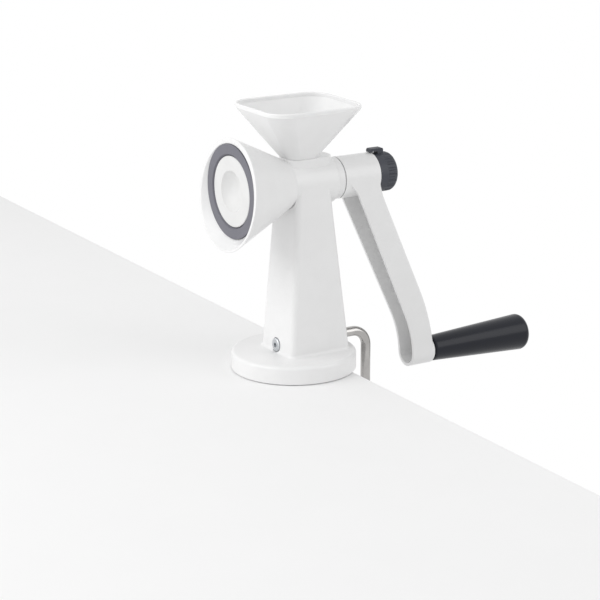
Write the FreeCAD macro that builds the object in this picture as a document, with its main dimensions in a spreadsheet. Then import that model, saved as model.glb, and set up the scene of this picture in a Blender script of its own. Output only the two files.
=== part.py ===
import FreeCAD, Part
import math
import operator
import os
from types import SimpleNamespace

import Sketcher

# A hand cranked poppy seed mill: a round foot with a tapered column, a grinding head with a slanted
# outlet bell, a square hopper on top, a bent crank arm with a loose grip, and a screw clamp on a
# bent steel rod. +Z is up, the head's axis runs along Y with the outlet at -Y, and the origin is the
# middle of the foot's underside. Lengths are millimetres, angles are degrees.

SIZES = {
    # foot
    "foot_radius": 53.0,
    "foot_height": 15.5,
    "foot_edge_round": 3.0,
    "foot_rim_width": 5.0,
    "foot_pad_thickness": 2.4,
    "foot_pad_stand_out": 0.6,
    # column: its walls lean in from the foot to the head
    "column_side_setback": 27.0,
    "column_front": -17.5,
    "column_back_setback": 12.0,
    "column_corner": 5.0,
    "column_inner_corner": 2.6,
    "column_wall": 3.0,
    "column_top_inset": 0.3,
    "column_top_back": 25.0,
    "column_root_round": 3.0,
    "column_roof_drop": 25.0,
    # head tube
    "head_height": 159.0,
    "tube_radius": 20.0,
    "tube_front": -8.0,
    "tube_back": 33.5,
    "tube_edge_round": 1.5,
    "tube_bore_radius": 14.6,
    "spigot_radius": 17.0,
    "spigot_length": 12.0,
    # socket for the hopper
    "socket_half_width": 14.0,
    "socket_front": -9.45,
    "socket_rise": 2.0,
    "socket_front_corner": 9.0,
    "socket_back_corner": 13.5,
    "socket_edge_round": 0.8,
    "bell_seat_room": 1.0,
    "socket_depth": 6.5,
    # outlet bell
    "bell_blank_radius": 50.38,
    "bell_rim_middle": -62.8,
    "bell_rim_lean": 0.11,
    "bell_blank_front": -70.0,
    "bell_flare_slope": 0.86,
    "bell_lip_round": 0.5,
    # grinding ring and cone
    "ring_front": -59.7,
    "ring_flange_radius": 39.0,
    "ring_flange_back": -51.0,
    "ring_step": 1.8,
    "ring_body_radius": 31.0,
    "ring_back": -38.0,
    "ring_throat_radius": 19.0,
    "burr_slope": 0.55,
    "ring_groove_count": 24,
    "ring_groove_turn": 14.0,
    "burr_land": 3.0,
    "groove_half_width": 2.2,
    "groove_height": 3.6,
    "groove_depth": 2.0,
    "groove_end_play": 0.1,
    "cone_front": -58.9,
    "cone_back": -39.5,
    "burr_gap": 0.5,
    "cone_rim_round": 0.8,
    "cone_dish_radius": 17.3,
    "cone_dish_depth": 9.0,
    "cone_groove_count": 20,
    "cone_groove_turn": 16.0,
    # feed screw and drive shaft
    "screw_radius": 14.0,
    "screw_core_radius": 8.6,
    "screw_flight": 3.2,
    "screw_pitch": 18.0,
    "screw_back": 20.0,
    "shaft_radius": 6.5,
    "shaft_square": 9.0,
    "shaft_front": -46.0,
    "shaft_shoulder": 46.0,
    "shaft_square_setback": 0.5,
    "shaft_thread_radius": 4.0,
    "shaft_end": 90.5,
    # bush and washer behind the head
    "bush_front": 24.0,
    "bush_collar_radius": 17.7,
    "bush_collar_length": 6.9,
    "bush_collar_round": 0.5,
    "thrust_gap": 0.3,
    "thrust_washer_thickness": 0.5,
    "thrust_washer_radius": 10.0,
    # crank arm
    "hub_radius": 17.7,
    "arm_seat_back": 75.5,
    "crank_radius": 166.5,
    "arm_end_radius": 12.0,
    "arm_wall": 2.5,
    "arm_web": 3.1,
    "arm_rim_drop": 24.7,
    "arm_rim_reach": 58.8,
    "arm_rim_slope": 0.453,
    "arm_rim_end": 115.5,
    "arm_rim_bend": 97.0,
    "arm_shoulder_drop": 12.3,
    "arm_shoulder_slope": 0.86,
    "arm_shoulder_bend": 20.0,
    "arm_back_slope": 0.465,
    "arm_back_end": 139.5,
    "arm_back_knee_rise": 19.5,
    "arm_back_knee_bend": 200.0,
    "arm_back_neck_bend": 60.0,
    "arm_run_out": 50.0,
    "arm_edge_round": 3.0,
    "spot_face_radius": 18.5,
    "grip_boss_round": 2.5,
    "nut_recess_radius": 8.5,
    # grip and its axle
    "grip_gap": 0.3,
    "grip_end": 250.0,
    "grip_neck_radius": 12.5,
    "grip_end_radius": 17.8,
    "grip_neck_round": 2.0,
    "grip_end_round": 13.0,
    "axle_radius": 4.0,
    "axle_head_radius": 6.0,
    "axle_head_start": 225.0,
    "axle_head_length": 4.0,
    "axle_nut_flats": 11.0,
    "axle_nut_thickness": 2.6,
    "axle_nut_stand_out": 0.8,
    "grip_washer_radius": 9.0,
    "grip_washer_thickness": 0.8,
    # fineness knob and its nut
    "knob_gap": 0.3,
    "knob_radius": 16.8,
    "knob_end": 95.0,
    "knob_edge_round": 5.0,
    "knob_flute_count": 20,
    "knob_flute_radius": 1.8,
    "knob_flute_sink": 0.9,
    "knob_flute_start": 84.0,
    "knob_bore_play": 0.4,
    "knob_bore_end": 91.5,
    "knob_nut_flats": 13.0,
    "knob_nut_back": 84.0,
    "finger_front": 73.5,
    "finger_back": 86.5,
    "finger_top_radius": 21.2,
    "finger_thickness": 2.4,
    "finger_width": 6.5,
    "finger_hook": 2.7,
    "finger_hook_play": 0.4,
    "finger_root": 5.5,
    "finger_round": 1.5,
    # hopper
    "hopper_middle": 4.35,
    "rim_rise": 45.0,
    "rim_half_width": 49.0,
    "rim_half_depth": 47.3,
    "rim_corner": 17.0,
    "rim_thickness": 2.6,
    "rim_overhang": 1.0,
    "rim_round": 1.1,
    "hopper_wall": 2.2,
    "hopper_foot_half": 13.5,
    "hopper_foot_corner": 8.5,
    "plug_half": 11.0,
    "plug_corner": 6.0,
    "throat_half": 9.0,
    "throat_corner": 4.5,
    # clamp rod, its screw and washer
    "rod_radius": 4.25,
    "rod_height": 21.5,
    "rod_front": -12.0,
    "rod_reach": 72.8,
    "rod_drop": -58.0,
    "rod_end": 8.3,
    "rod_bend": 14.0,
    "rod_boss_radius": 8.0,
    "rod_boss_bite": 0.8,
    "rod_screw_floor": -14.0,
    "rod_screw_head_radius": 5.8,
    "rod_screw_head_height": 3.2,
    "rod_screw_head_round": 1.0,
    "rod_screw_radius": 2.5,
    "rod_screw_end": 0.0,
    "rod_screw_hex": 4.0,
    "rod_screw_hex_depth": 2.2,
    "rod_washer_radius": 6.2,
    "rod_washer_thickness": 1.0,
    # clamp block, spindle, pad and knob
    "block_half_width": 10.0,
    "block_front": -12.0,
    "block_back": 22.0,
    "block_half_height": 8.0,
    "block_edge_round": 2.0,
    "block_pin_radius": 1.5,
    "block_pin_place": 15.0,
    "spindle_radius": 5.0,
    "spindle_neck_radius": 3.5,
    "spindle_head_height": 2.4,
    "clamp_top": -22.5,
    "pad_radius": 19.0,
    "pad_thickness": 4.4,
    "pad_edge_round": 1.2,
    "liner_radius": 18.4,
    "liner_thickness": 1.6,
    "spindle_end": -93.0,
    "clamp_knob_top": -81.0,
    "clamp_knob_bottom": -97.0,
    "clamp_knob_radius": 18.0,
    "clamp_knob_round": 2.5,
    "clamp_knob_lobe_count": 7,
    "clamp_knob_scallop_radius": 7.0,
    "clamp_knob_scallop_sink": 3.0,
    # fits
    "running_play": 0.05,
    "fixed_play": 0.05,
    "end_play": 0.2,
    "travel_room": 1.0,
    "over_cut": 5.0,
}

SIGNS = {"+": operator.add, "-": operator.sub, "*": operator.mul, "/": operator.truediv}
TINY = 0.01


class Size:
    """A value together with the sheet formula that it comes from."""

    def __init__(self, value, formula):
        self.value = value
        self.formula = formula

    def __add__(self, other):
        return combine(self, "+", other)

    def __radd__(self, other):
        return combine(other, "+", self)

    def __sub__(self, other):
        return combine(self, "-", other)

    def __rsub__(self, other):
        return combine(other, "-", self)

    def __mul__(self, other):
        return combine(self, "*", other)

    def __rmul__(self, other):
        return combine(other, "*", self)

    def __truediv__(self, other):
        return combine(self, "/", other)

    def __neg__(self):
        return Size(-self.value, f"(-1 * {self.formula})")


def as_size(number):
    """Turn a plain number into a Size; a Size passes through."""
    if isinstance(number, Size):
        return number
    return Size(number, f"({number})")


def combine(left, sign, right):
    """Work out a sign b as a value and as a formula."""
    left = as_size(left)
    right = as_size(right)
    return Size(SIGNS[sign](left.value, right.value), f"({left.formula} {sign} {right.formula})")


def square_root(size):
    """The square root of a Size."""
    return Size(math.sqrt(size.value), f"sqrt({size.formula})")


def make_sheet(doc):
    """Write every driving dimension to a sheet and return them as Sizes by name."""
    sheet = doc.addObject("Spreadsheet::Sheet", "Sizes")
    for row, (name, value) in enumerate(SIZES.items(), start=1):
        sheet.set(f"A{row}", name)
        sheet.set(f"B{row}", str(value))
        sheet.setAlias(f"B{row}", name)
    doc.recompute()
    return SimpleNamespace(**{name: Size(value, f"Sizes.{name}") for name, value in SIZES.items()})


DOC = FreeCAD.newDocument("PoppySeedMill")
S = make_sheet(DOC)
ZERO = as_size(0)

# Heights and depths that several pieces share
FOOT_PAD_RADIUS = S.foot_radius - S.foot_rim_width
PAD_RECESS_TOP = S.foot_pad_thickness
FOOT_UNDERSIDE = S.foot_pad_stand_out
COLUMN_HALF_WIDTH = S.foot_radius - S.column_side_setback
COLUMN_BACK = S.foot_radius - S.column_back_setback
COLUMN_TOP_FRONT = S.tube_front + S.column_top_inset
COLUMN_TOP_HALF_WIDTH = S.tube_radius - S.column_top_inset
SPIGOT_FRONT = S.tube_front - S.spigot_length
SOCKET_TOP = S.head_height + S.tube_radius + S.socket_rise
SOCKET_FLOOR = SOCKET_TOP - S.socket_depth
HEX_CORNER = 2 / math.sqrt(3)
BUSH_COLLAR_BACK = S.tube_back + S.bush_collar_length
THRUST_FRONT = BUSH_COLLAR_BACK + S.thrust_gap
HUB_FRONT = THRUST_FRONT + S.thrust_washer_thickness
SHAFT_SQUARE_BACK = S.arm_seat_back - S.shaft_square_setback
SHAFT_SLOT_HALF = S.shaft_square / 2 + S.fixed_play
KNOB_FRONT = S.arm_seat_back + S.knob_gap
KNOB_NUT_FRONT = KNOB_FRONT + S.end_play
GRIP_FRONT = S.arm_back_end + S.grip_washer_thickness + S.grip_gap
GRIP_HEIGHT = S.head_height - S.crank_radius
AXLE_NUT_BACK = S.arm_back_end - S.arm_web
AXLE_NUT_FRONT = AXLE_NUT_BACK - S.axle_nut_thickness
ARM_RIM_HEIGHT = S.head_height - S.arm_rim_drop
RIM_HEIGHT = SOCKET_TOP + S.rim_rise
RIM_UNDERSIDE = RIM_HEIGHT - S.rim_thickness
LINER_BOTTOM = S.clamp_top - S.liner_thickness
PAD_BOTTOM = LINER_BOTTOM - S.pad_thickness
SPINDLE_HEAD_TOP = LINER_BOTTOM - S.end_play
SPINDLE_HEAD_BOTTOM = SPINDLE_HEAD_TOP - S.spindle_head_height


# ---------------------------------------------------------------- document helpers


def bind(target, prop, size):
    """Bind a property of an object to the sheet."""
    target.setExpression(prop, as_size(size).formula)


def new_body(label, height=ZERO):
    """A body whose own X and Y axes run at the given height."""
    body = DOC.addObject("PartDesign::Body", label)
    body.Label = label
    bind(body, "Placement.Base.z", height)
    return body


def origin_part(body, role):
    """One of the body's own origin planes or axes."""
    return next(part for part in body.Origin.OriginFeatures if part.Role == role)


def new_sketch(body, name, role):
    """A sketch lying flat on one of the body's origin planes."""
    sketch = body.newObject("Sketcher::SketchObject", name)
    sketch.AttachmentSupport = [(origin_part(body, role), "")]
    sketch.MapMode = "FlatFace"
    return sketch


def level_sketch(body, name, height):
    """A horizontal sketch: across is X, up is Y."""
    sketch = new_sketch(body, name, "XY_Plane")
    bind(sketch, "AttachmentOffset.Base.z", height)
    return sketch


def cross_sketch(body, name, place):
    """A sketch square to the head's axis at Y = place: across is X, up is Z."""
    sketch = new_sketch(body, name, "XZ_Plane")
    bind(sketch, "AttachmentOffset.Base.z", -as_size(place))
    return sketch


def side_sketch(body, name, height=ZERO):
    """A sketch in the plane X = 0 with its origin at the given height: across is Y, up is Z."""
    sketch = new_sketch(body, name, "YZ_Plane")
    bind(sketch, "AttachmentOffset.Base.y", height)
    return sketch


def front_sketch(body, name):
    """A sketch in the plane Y = 0: across is X, up is Z."""
    return new_sketch(body, name, "XZ_Plane")


# ---------------------------------------------------------------- sketch helpers


def point(across, up):
    return FreeCAD.Vector(across, up, 0)


def hold(sketch, kind, geometry, place, size):
    """Give a point its distance from the sketch's origin, bound to the sheet."""
    size = as_size(size)
    index = sketch.addConstraint(Sketcher.Constraint(kind, -1, 1, geometry, place, size.value))
    sketch.setExpression(f"Constraints[{index}]", size.formula)


def hold_point(sketch, geometry, place, across, up):
    hold(sketch, "DistanceX", geometry, place, across)
    hold(sketch, "DistanceY", geometry, place, up)


def hold_radius(sketch, geometry, radius):
    radius = as_size(radius)
    index = sketch.addConstraint(Sketcher.Constraint("Radius", geometry, radius.value))
    sketch.setExpression(f"Constraints[{index}]", radius.formula)


def draw_circle(sketch, across, up, radius):
    """A circle bound by its middle and radius."""
    middle = point(as_size(across).value, as_size(up).value)
    circle = Part.Circle(middle, FreeCAD.Vector(0, 0, 1), as_size(radius).value)
    index = sketch.addGeometry(circle)
    hold_point(sketch, index, 3, across, up)
    hold_radius(sketch, index, radius)


def round_corner(before, corner, after, radius):
    """The two tangent points, the middle and the turning sense of a rounded corner."""
    to_before = (before - corner).normalize()
    to_after = (after - corner).normalize()
    half_angle = to_before.getAngle(to_after) / 2
    reach = radius / math.tan(half_angle)
    bisector = (to_before + to_after).normalize()
    middle = corner + bisector * (radius / math.sin(half_angle))
    clockwise = to_before.cross(to_after).z > 0
    return corner + to_before * reach, corner + to_after * reach, middle, clockwise


def arc_between(middle, radius, start, end):
    """A counter-clockwise arc from start to end."""
    circle = Part.Circle(middle, FreeCAD.Vector(0, 0, 1), radius)
    angles = [math.atan2(place.y - middle.y, place.x - middle.x) for place in (start, end)]
    return Part.ArcOfCircle(circle, angles[0], angles[1])


def draw_outline(sketch, corners, closed=True):
    """Straight runs through the corners (across, up[, radius]); a radius rounds its corner.

    A sharp corner joins its two lines and is bound directly. A rounded one keeps a construction
    point where the two lines would meet, so that the corner's own place drives the arc.
    """
    places = [point(as_size(corner[0]).value, as_size(corner[1]).value) for corner in corners]
    count = len(corners)
    rounded = {}
    for index, corner in enumerate(corners):
        if len(corner) == 3:
            before = places[index - 1]
            after = places[(index + 1) % count]
            rounded[index] = round_corner(before, places[index], after, as_size(corner[2]).value)
    line_count = count if closed else count - 1
    first_line = sketch.GeometryCount
    for index in range(line_count):
        following = (index + 1) % count
        start = rounded[index][1] if index in rounded else places[index]
        end = rounded[following][0] if following in rounded else places[following]
        sketch.addGeometry(Part.LineSegment(start, end))
    for index, corner in enumerate(corners):
        incoming = first_line + (index - 1) % line_count
        outgoing = first_line + index
        if index in rounded:
            add_rounded_corner(sketch, corner, places[index], rounded[index], incoming, outgoing)
            continue
        has_outgoing = closed or index < line_count
        has_incoming = closed or index > 0
        if has_outgoing:
            hold_point(sketch, outgoing, 1, corner[0], corner[1])
        else:
            hold_point(sketch, incoming, 2, corner[0], corner[1])
        if has_outgoing and has_incoming:
            sketch.addConstraint(Sketcher.Constraint("Coincident", incoming, 2, outgoing, 1))


def add_rounded_corner(sketch, corner, place, rounding, incoming, outgoing):
    """The arc of one rounded corner, tangent to both lines, and its construction point."""
    first, last, middle, clockwise = rounding
    ends = (last, first) if clockwise else (first, last)
    arc = sketch.addGeometry(arc_between(middle, as_size(corner[2]).value, *ends))
    apex = sketch.addGeometry(Part.Point(place), True)
    hold_point(sketch, apex, 1, corner[0], corner[1])
    sketch.addConstraint(Sketcher.Constraint("PointOnObject", apex, 1, incoming))
    sketch.addConstraint(Sketcher.Constraint("PointOnObject", apex, 1, outgoing))
    arc_start, arc_end = (2, 1) if clockwise else (1, 2)
    sketch.addConstraint(Sketcher.Constraint("Tangent", incoming, 2, arc, arc_start))
    sketch.addConstraint(Sketcher.Constraint("Tangent", arc, arc_end, outgoing, 1))
    hold_radius(sketch, arc, corner[2])


def draw_panel(sketch, left, right, low, high, radius=None):
    """A rectangle, with its four corners rounded if a radius is given."""
    rounding = () if radius is None else (radius,)
    corners = [(left, low), (right, low), (right, high), (left, high)]
    draw_outline(sketch, [corner + rounding for corner in corners])


def draw_hexagon(sketch, across_flats, up=ZERO):
    """A hexagon about (0, up) with two corners level with its middle."""
    corner = as_size(across_flats) * (HEX_CORNER / 2)
    half_flat = as_size(across_flats) / 2
    corners = [
        (corner, up),
        (corner / 2, up + half_flat),
        (-corner / 2, up + half_flat),
        (-corner, up),
        (-corner / 2, up - half_flat),
        (corner / 2, up - half_flat),
    ]
    draw_outline(sketch, corners)


def draw_tapered_slot(sketch, top, top_radius, bottom, bottom_radius):
    """Two round ends on the line across = 0, joined by their common tangents."""
    sine = (top_radius.value - bottom_radius.value) / (top.value - bottom.value)
    cosine = math.sqrt(1 - sine * sine)
    ends = {}
    for name, middle, radius in (("top", top, top_radius), ("bottom", bottom, bottom_radius)):
        across = radius.value * cosine
        up = middle.value + radius.value * sine
        ends[name] = point(across, up), point(-across, up), point(0, middle.value)
    top_right, top_left, top_middle = ends["top"]
    bottom_right, bottom_left, bottom_middle = ends["bottom"]
    top_arc = sketch.addGeometry(arc_between(top_middle, top_radius.value, top_right, top_left))
    left_line = sketch.addGeometry(Part.LineSegment(top_left, bottom_left))
    bottom_arc = sketch.addGeometry(
        arc_between(bottom_middle, bottom_radius.value, bottom_left, bottom_right))
    right_line = sketch.addGeometry(Part.LineSegment(bottom_right, top_right))
    loop = [top_arc, left_line, bottom_arc, right_line]
    for first, second in zip(loop, loop[1:] + loop[:1]):
        sketch.addConstraint(Sketcher.Constraint("Tangent", first, 2, second, 1))
    hold_point(sketch, top_arc, 3, ZERO, top)
    hold_point(sketch, bottom_arc, 3, ZERO, bottom)
    hold_radius(sketch, top_arc, top_radius)
    hold_radius(sketch, bottom_arc, bottom_radius)


# ---------------------------------------------------------------- feature helpers


def add_feature(body, kind, name, cuts=False, **settings):
    """Make a PartDesign feature, set it up, recompute, and check that a cut really cuts."""
    before = body.Shape.Volume if cuts else 0
    feature = body.newObject(f"PartDesign::{kind}", name)
    for prop, value in settings.items():
        if isinstance(value, Size):
            bind(feature, prop, value)
        else:
            setattr(feature, prop, value)
    body.Tip = feature
    DOC.recompute()
    if cuts and body.Shape.Volume > before - TINY:
        raise RuntimeError(f"{body.Label}: {name} cuts nothing")
    return feature


def pad(body, sketch, length, name):
    return add_feature(body, "Pad", name, Profile=sketch, Length=as_size(length))


def pad_both_ways(body, sketch, length, name):
    return add_feature(body, "Pad", name, Profile=sketch, SideType="Symmetric",
                       Length=as_size(length))


def pocket(body, sketch, depth, name):
    return add_feature(body, "Pocket", name, cuts=True, Profile=sketch, Length=as_size(depth))


def pocket_through(body, sketch, name):
    return add_feature(body, "Pocket", name, cuts=True, Profile=sketch, Type="ThroughAll",
                       SideType="Symmetric")


def revolve(body, sketch, name, axis="H_Axis"):
    return add_feature(body, "Revolution", name, Profile=sketch, ReferenceAxis=(sketch, [axis]),
                       Angle=360)


def groove(body, sketch, name, axis="H_Axis"):
    return add_feature(body, "Groove", name, cuts=True, Profile=sketch,
                       ReferenceAxis=(sketch, [axis]), Angle=360)


def loft(body, first, last, name):
    return add_feature(body, "AdditiveLoft", name, Profile=first, Sections=[last], Ruled=True)


def loft_cut(body, first, last, name):
    return add_feature(body, "SubtractiveLoft", name, cuts=True, Profile=first, Sections=[last],
                       Ruled=True)


def repeat_round(body, feature, role, count, name):
    """Repeat a feature evenly round one of the body's axes."""
    axis = (origin_part(body, role), [""])
    return add_feature(body, "PolarPattern", name, Originals=[feature], Axis=axis, Angle=360,
                       Occurrences=count)


def round_edges(body, radius, name, chosen):
    """Round the edges for which chosen(edge) holds, in the body's own coordinates."""
    base = body.Tip
    names = [f"Edge{index}" for index, edge in enumerate(base.Shape.Edges, start=1) if chosen(edge)]
    if not names:
        raise RuntimeError(f"{body.Label}: {name} finds no edge")
    return add_feature(body, "Fillet", name, Base=(base, names), Radius=as_size(radius))


def samples(edge):
    """Five points along an edge."""
    first, last = edge.FirstParameter, edge.LastParameter
    return [edge.valueAt(first + (last - first) * step / 4) for step in range(5)]


def lies_at(edge, axis, size):
    """Whether an edge lies in the plane axis = size."""
    return all(abs(getattr(place, axis) - size.value) < TINY for place in samples(edge))


# ---------------------------------------------------------------- housing and foot


def column_sections(body, inset, corner, low, high, name):
    """Two rounded rectangles of the leaning column, moved in by inset, at two heights."""
    rise = S.head_height - S.foot_height
    sketches = []
    for label, height in ((f"{name}Low", low), (f"{name}High", high)):
        share = (height - S.foot_height) / rise
        half_width = COLUMN_HALF_WIDTH + (COLUMN_TOP_HALF_WIDTH - COLUMN_HALF_WIDTH) * share
        front = S.column_front + (COLUMN_TOP_FRONT - S.column_front) * share
        back = COLUMN_BACK + (S.column_top_back - COLUMN_BACK) * share
        sketch = level_sketch(body, label, height)
        draw_panel(sketch, inset - half_width, half_width - inset, front + inset, back - inset, corner)
        sketches.append(sketch)
    return sketches


def make_housing():
    """Foot, column, head tube and hopper socket: one moulding."""
    body = new_body("housing")
    foot = front_sketch(body, "FootProfile")
    recess_radius = FOOT_PAD_RADIUS + S.fixed_play
    draw_outline(foot, [
        (recess_radius, FOOT_UNDERSIDE),
        (S.foot_radius, FOOT_UNDERSIDE),
        (S.foot_radius, S.foot_height, S.foot_edge_round),
        (ZERO, S.foot_height),
        (ZERO, PAD_RECESS_TOP),
        (recess_radius, PAD_RECESS_TOP),
    ])
    revolve(body, foot, "Foot", "V_Axis")

    low, high = column_sections(body, ZERO, S.column_corner, S.foot_height, S.head_height, "Column")
    loft(body, low, high, "Column")
    seat_front = S.tube_front - S.over_cut
    bell_seat = cross_sketch(body, "BellSeatOutline", seat_front)
    draw_circle(bell_seat, ZERO, S.head_height, S.tube_radius + S.bell_seat_room)
    pocket(body, bell_seat, S.tube_front - seat_front, "BellSeat")

    tube = side_sketch(body, "TubeProfile", S.head_height)
    draw_outline(tube, [
        (SPIGOT_FRONT, ZERO),
        (SPIGOT_FRONT, S.spigot_radius),
        (S.tube_front, S.spigot_radius),
        (S.tube_front, S.tube_radius),
        (S.tube_back, S.tube_radius, S.tube_edge_round),
        (S.tube_back, ZERO),
    ])
    revolve(body, tube, "HeadTube")

    socket = level_sketch(body, "SocketOutline", S.head_height)
    draw_outline(socket, [
        (-S.socket_half_width, S.socket_front, S.socket_front_corner),
        (S.socket_half_width, S.socket_front, S.socket_front_corner),
        (S.socket_half_width, S.tube_back, S.socket_back_corner),
        (-S.socket_half_width, S.tube_back, S.socket_back_corner),
    ])
    pad(body, socket, SOCKET_TOP - S.head_height, "HopperSocket")
    round_edges(body, S.socket_edge_round, "SocketRound",
                lambda edge: lies_at(edge, "z", SOCKET_TOP))

    def meets_foot(edge):
        limit = S.foot_radius.value - S.foot_edge_round.value - TINY
        inside = all(math.hypot(place.x, place.y) < limit for place in samples(edge))
        return lies_at(edge, "z", S.foot_height) and inside

    round_edges(body, S.column_root_round, "ColumnRoot", meets_foot)

    hollow_low, hollow_high = column_sections(
        body, S.column_wall, S.column_inner_corner, S.foot_height,
        S.head_height - S.column_roof_drop, "Hollow")
    loft_cut(body, hollow_low, hollow_high, "ColumnHollow")
    pocket(body, hollow_low, S.foot_height, "FootHollow")
    add_rod_mount(body)

    bore = cross_sketch(body, "BoreOutline", SPIGOT_FRONT - S.over_cut)
    draw_circle(bore, ZERO, S.head_height, S.tube_bore_radius)
    pocket(body, bore, S.tube_back - SPIGOT_FRONT + S.over_cut * 2, "Bore")

    seat = level_sketch(body, "PlugSeatOutline", SOCKET_TOP)
    seat_half = S.plug_half + S.fixed_play
    draw_panel(seat, -seat_half, seat_half, S.hopper_middle - seat_half, S.hopper_middle + seat_half,
               S.plug_corner)
    pocket(body, seat, S.socket_depth, "PlugSeat")
    throat = level_sketch(body, "ThroatOutline", SOCKET_TOP)
    draw_panel(throat, -S.throat_half, S.throat_half, S.hopper_middle - S.throat_half,
               S.hopper_middle + S.throat_half, S.throat_corner)
    pocket(body, throat, SOCKET_TOP - S.head_height, "Throat")
    return body


def add_rod_mount(body):
    """The cross tube at the column's foot that takes the clamp rod, with a sunk seat for its screw."""
    boss = cross_sketch(body, "RodBossOutline", COLUMN_BACK - S.column_wall + S.rod_boss_bite)
    draw_circle(boss, ZERO, S.rod_height, S.rod_boss_radius)
    length = COLUMN_BACK - S.column_front - S.column_wall * 2 + S.rod_boss_bite * 2
    pad(body, boss, length, "RodBoss")
    bore = cross_sketch(body, "RodBoreOutline", S.rod_front)
    draw_circle(bore, ZERO, S.rod_height, S.rod_radius + S.fixed_play)
    pocket(body, bore, COLUMN_BACK - S.rod_front + S.over_cut, "RodBore")
    front = S.column_front - S.over_cut
    seat = cross_sketch(body, "ScrewSeatOutline", front)
    draw_circle(seat, ZERO, S.rod_height, S.rod_washer_radius + S.end_play)
    pocket(body, seat, S.rod_screw_floor - front, "ScrewSeat")
    hole = cross_sketch(body, "ScrewHoleOutline", front)
    draw_circle(hole, ZERO, S.rod_height, S.rod_screw_radius + S.end_play)
    pocket(body, hole, S.rod_front - front + S.over_cut, "ScrewHole")


def make_foot_pad():
    """The soft disc under the foot."""
    body = new_body("foot_pad")
    outline = level_sketch(body, "PadOutline", ZERO)
    draw_circle(outline, ZERO, ZERO, FOOT_PAD_RADIUS)
    pad(body, outline, PAD_RECESS_TOP, "Disc")
    return body


# ---------------------------------------------------------------- outlet bell and burrs


def bell_radius(place):
    """The bell's outer radius at a place along the axis."""
    slope = (S.bell_blank_radius - S.tube_radius) / (S.tube_front - S.bell_blank_front)
    return S.tube_radius + (S.tube_front - place) * slope


def ring_radius(place):
    """The radius of the grinding ring's cone at a place along the axis."""
    return S.ring_throat_radius + (S.ring_back - place) * S.burr_slope


def make_outlet_bell():
    """The flared mouth: bore for the spigot, two seats for the ring, and a rim cut on a slant."""
    body = new_body("outlet_bell", S.head_height)
    bore = S.spigot_radius + S.fixed_play
    body_seat = S.ring_body_radius + S.fixed_play
    flange_seat = S.ring_flange_radius + S.fixed_play
    seat_front = S.ring_front + S.ring_step
    flare_radius = flange_seat + (seat_front - S.bell_blank_front) * S.bell_flare_slope
    profile = side_sketch(body, "BellProfile")
    draw_outline(profile, [
        (S.tube_front, bore),
        (S.tube_front, S.tube_radius),
        (S.bell_blank_front, bell_radius(S.bell_blank_front)),
        (S.bell_blank_front, flare_radius),
        (seat_front, flange_seat),
        (S.ring_flange_back, flange_seat),
        (S.ring_flange_back, body_seat),
        (S.ring_back, body_seat),
        (S.ring_back, bore),
    ])
    revolve(body, profile, "Bell")

    slant = side_sketch(body, "RimSlant")
    reach = bell_radius(S.bell_blank_front) + S.over_cut
    lean = reach * S.bell_rim_lean
    far = S.bell_blank_front - S.over_cut
    draw_outline(slant, [
        (S.bell_rim_middle - lean, -reach),
        (S.bell_rim_middle + lean, reach),
        (far, reach),
        (far, -reach),
    ])
    pocket_through(body, slant, "SlantedRim")

    def is_rim(edge):
        return all(abs(place.y - S.bell_rim_middle.value - place.z * S.bell_rim_lean.value) < TINY
                   for place in samples(edge))

    round_edges(body, S.bell_lip_round, "RimRound", is_rim)

    notch = level_sketch(body, "KeyNotch", bell_radius(S.socket_front) + S.over_cut)
    half = S.socket_half_width + S.fixed_play
    draw_panel(notch, -half, half, S.socket_front - S.fixed_play, S.tube_back,
               S.socket_front_corner + S.fixed_play)
    pocket(body, notch, bell_radius(S.socket_front) + S.over_cut, "KeyNotch")
    return body


def draw_groove(sketch, tip_radius, turn, height):
    """An upright V at a place turned about the axis: its tip, and its mouth height nearer the axis.

    The V is the same at both ends of a groove, so that the flanks are flat however it is skewed.
    """
    angle = math.radians(turn.value)
    degrees = f"{turn.formula} * 1 deg"
    across = Size(tip_radius.value * math.sin(angle), f"({tip_radius.formula} * sin({degrees}))")
    up = Size(tip_radius.value * math.cos(angle), f"({tip_radius.formula} * cos({degrees}))")
    draw_outline(sketch, [
        (across - S.groove_half_width, up - height),
        (across + S.groove_half_width, up - height),
        (across, up),
    ])


def make_grinding_ring():
    """The fixed burr: a stepped ring with a toothed inner cone."""
    body = new_body("grinding_ring", S.head_height)
    profile = side_sketch(body, "RingProfile")
    draw_outline(profile, [
        (S.ring_back, S.ring_throat_radius),
        (S.ring_back, S.ring_body_radius),
        (S.ring_flange_back, S.ring_body_radius),
        (S.ring_flange_back, S.ring_flange_radius),
        (S.ring_front, S.ring_flange_radius),
        (S.ring_front, ring_radius(S.ring_front)),
    ])
    revolve(body, profile, "Ring")
    front = S.ring_front + S.burr_land
    fine = cross_sketch(body, "GrooveFront", front)
    draw_groove(fine, ring_radius(front), ZERO, S.groove_height)
    back = S.ring_back + S.groove_end_play
    coarse = cross_sketch(body, "GrooveBack", back)
    draw_groove(coarse, ring_radius(back) + S.groove_depth, S.ring_groove_turn, S.groove_height)
    tooth = loft_cut(body, fine, coarse, "Groove")
    repeat_round(body, tooth, "Y_Axis", S.ring_groove_count, "Grooves")
    return body


def cone_radius(place):
    """The radius of the turning burr at a place along the axis."""
    return ring_radius(place) - S.burr_gap


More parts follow.
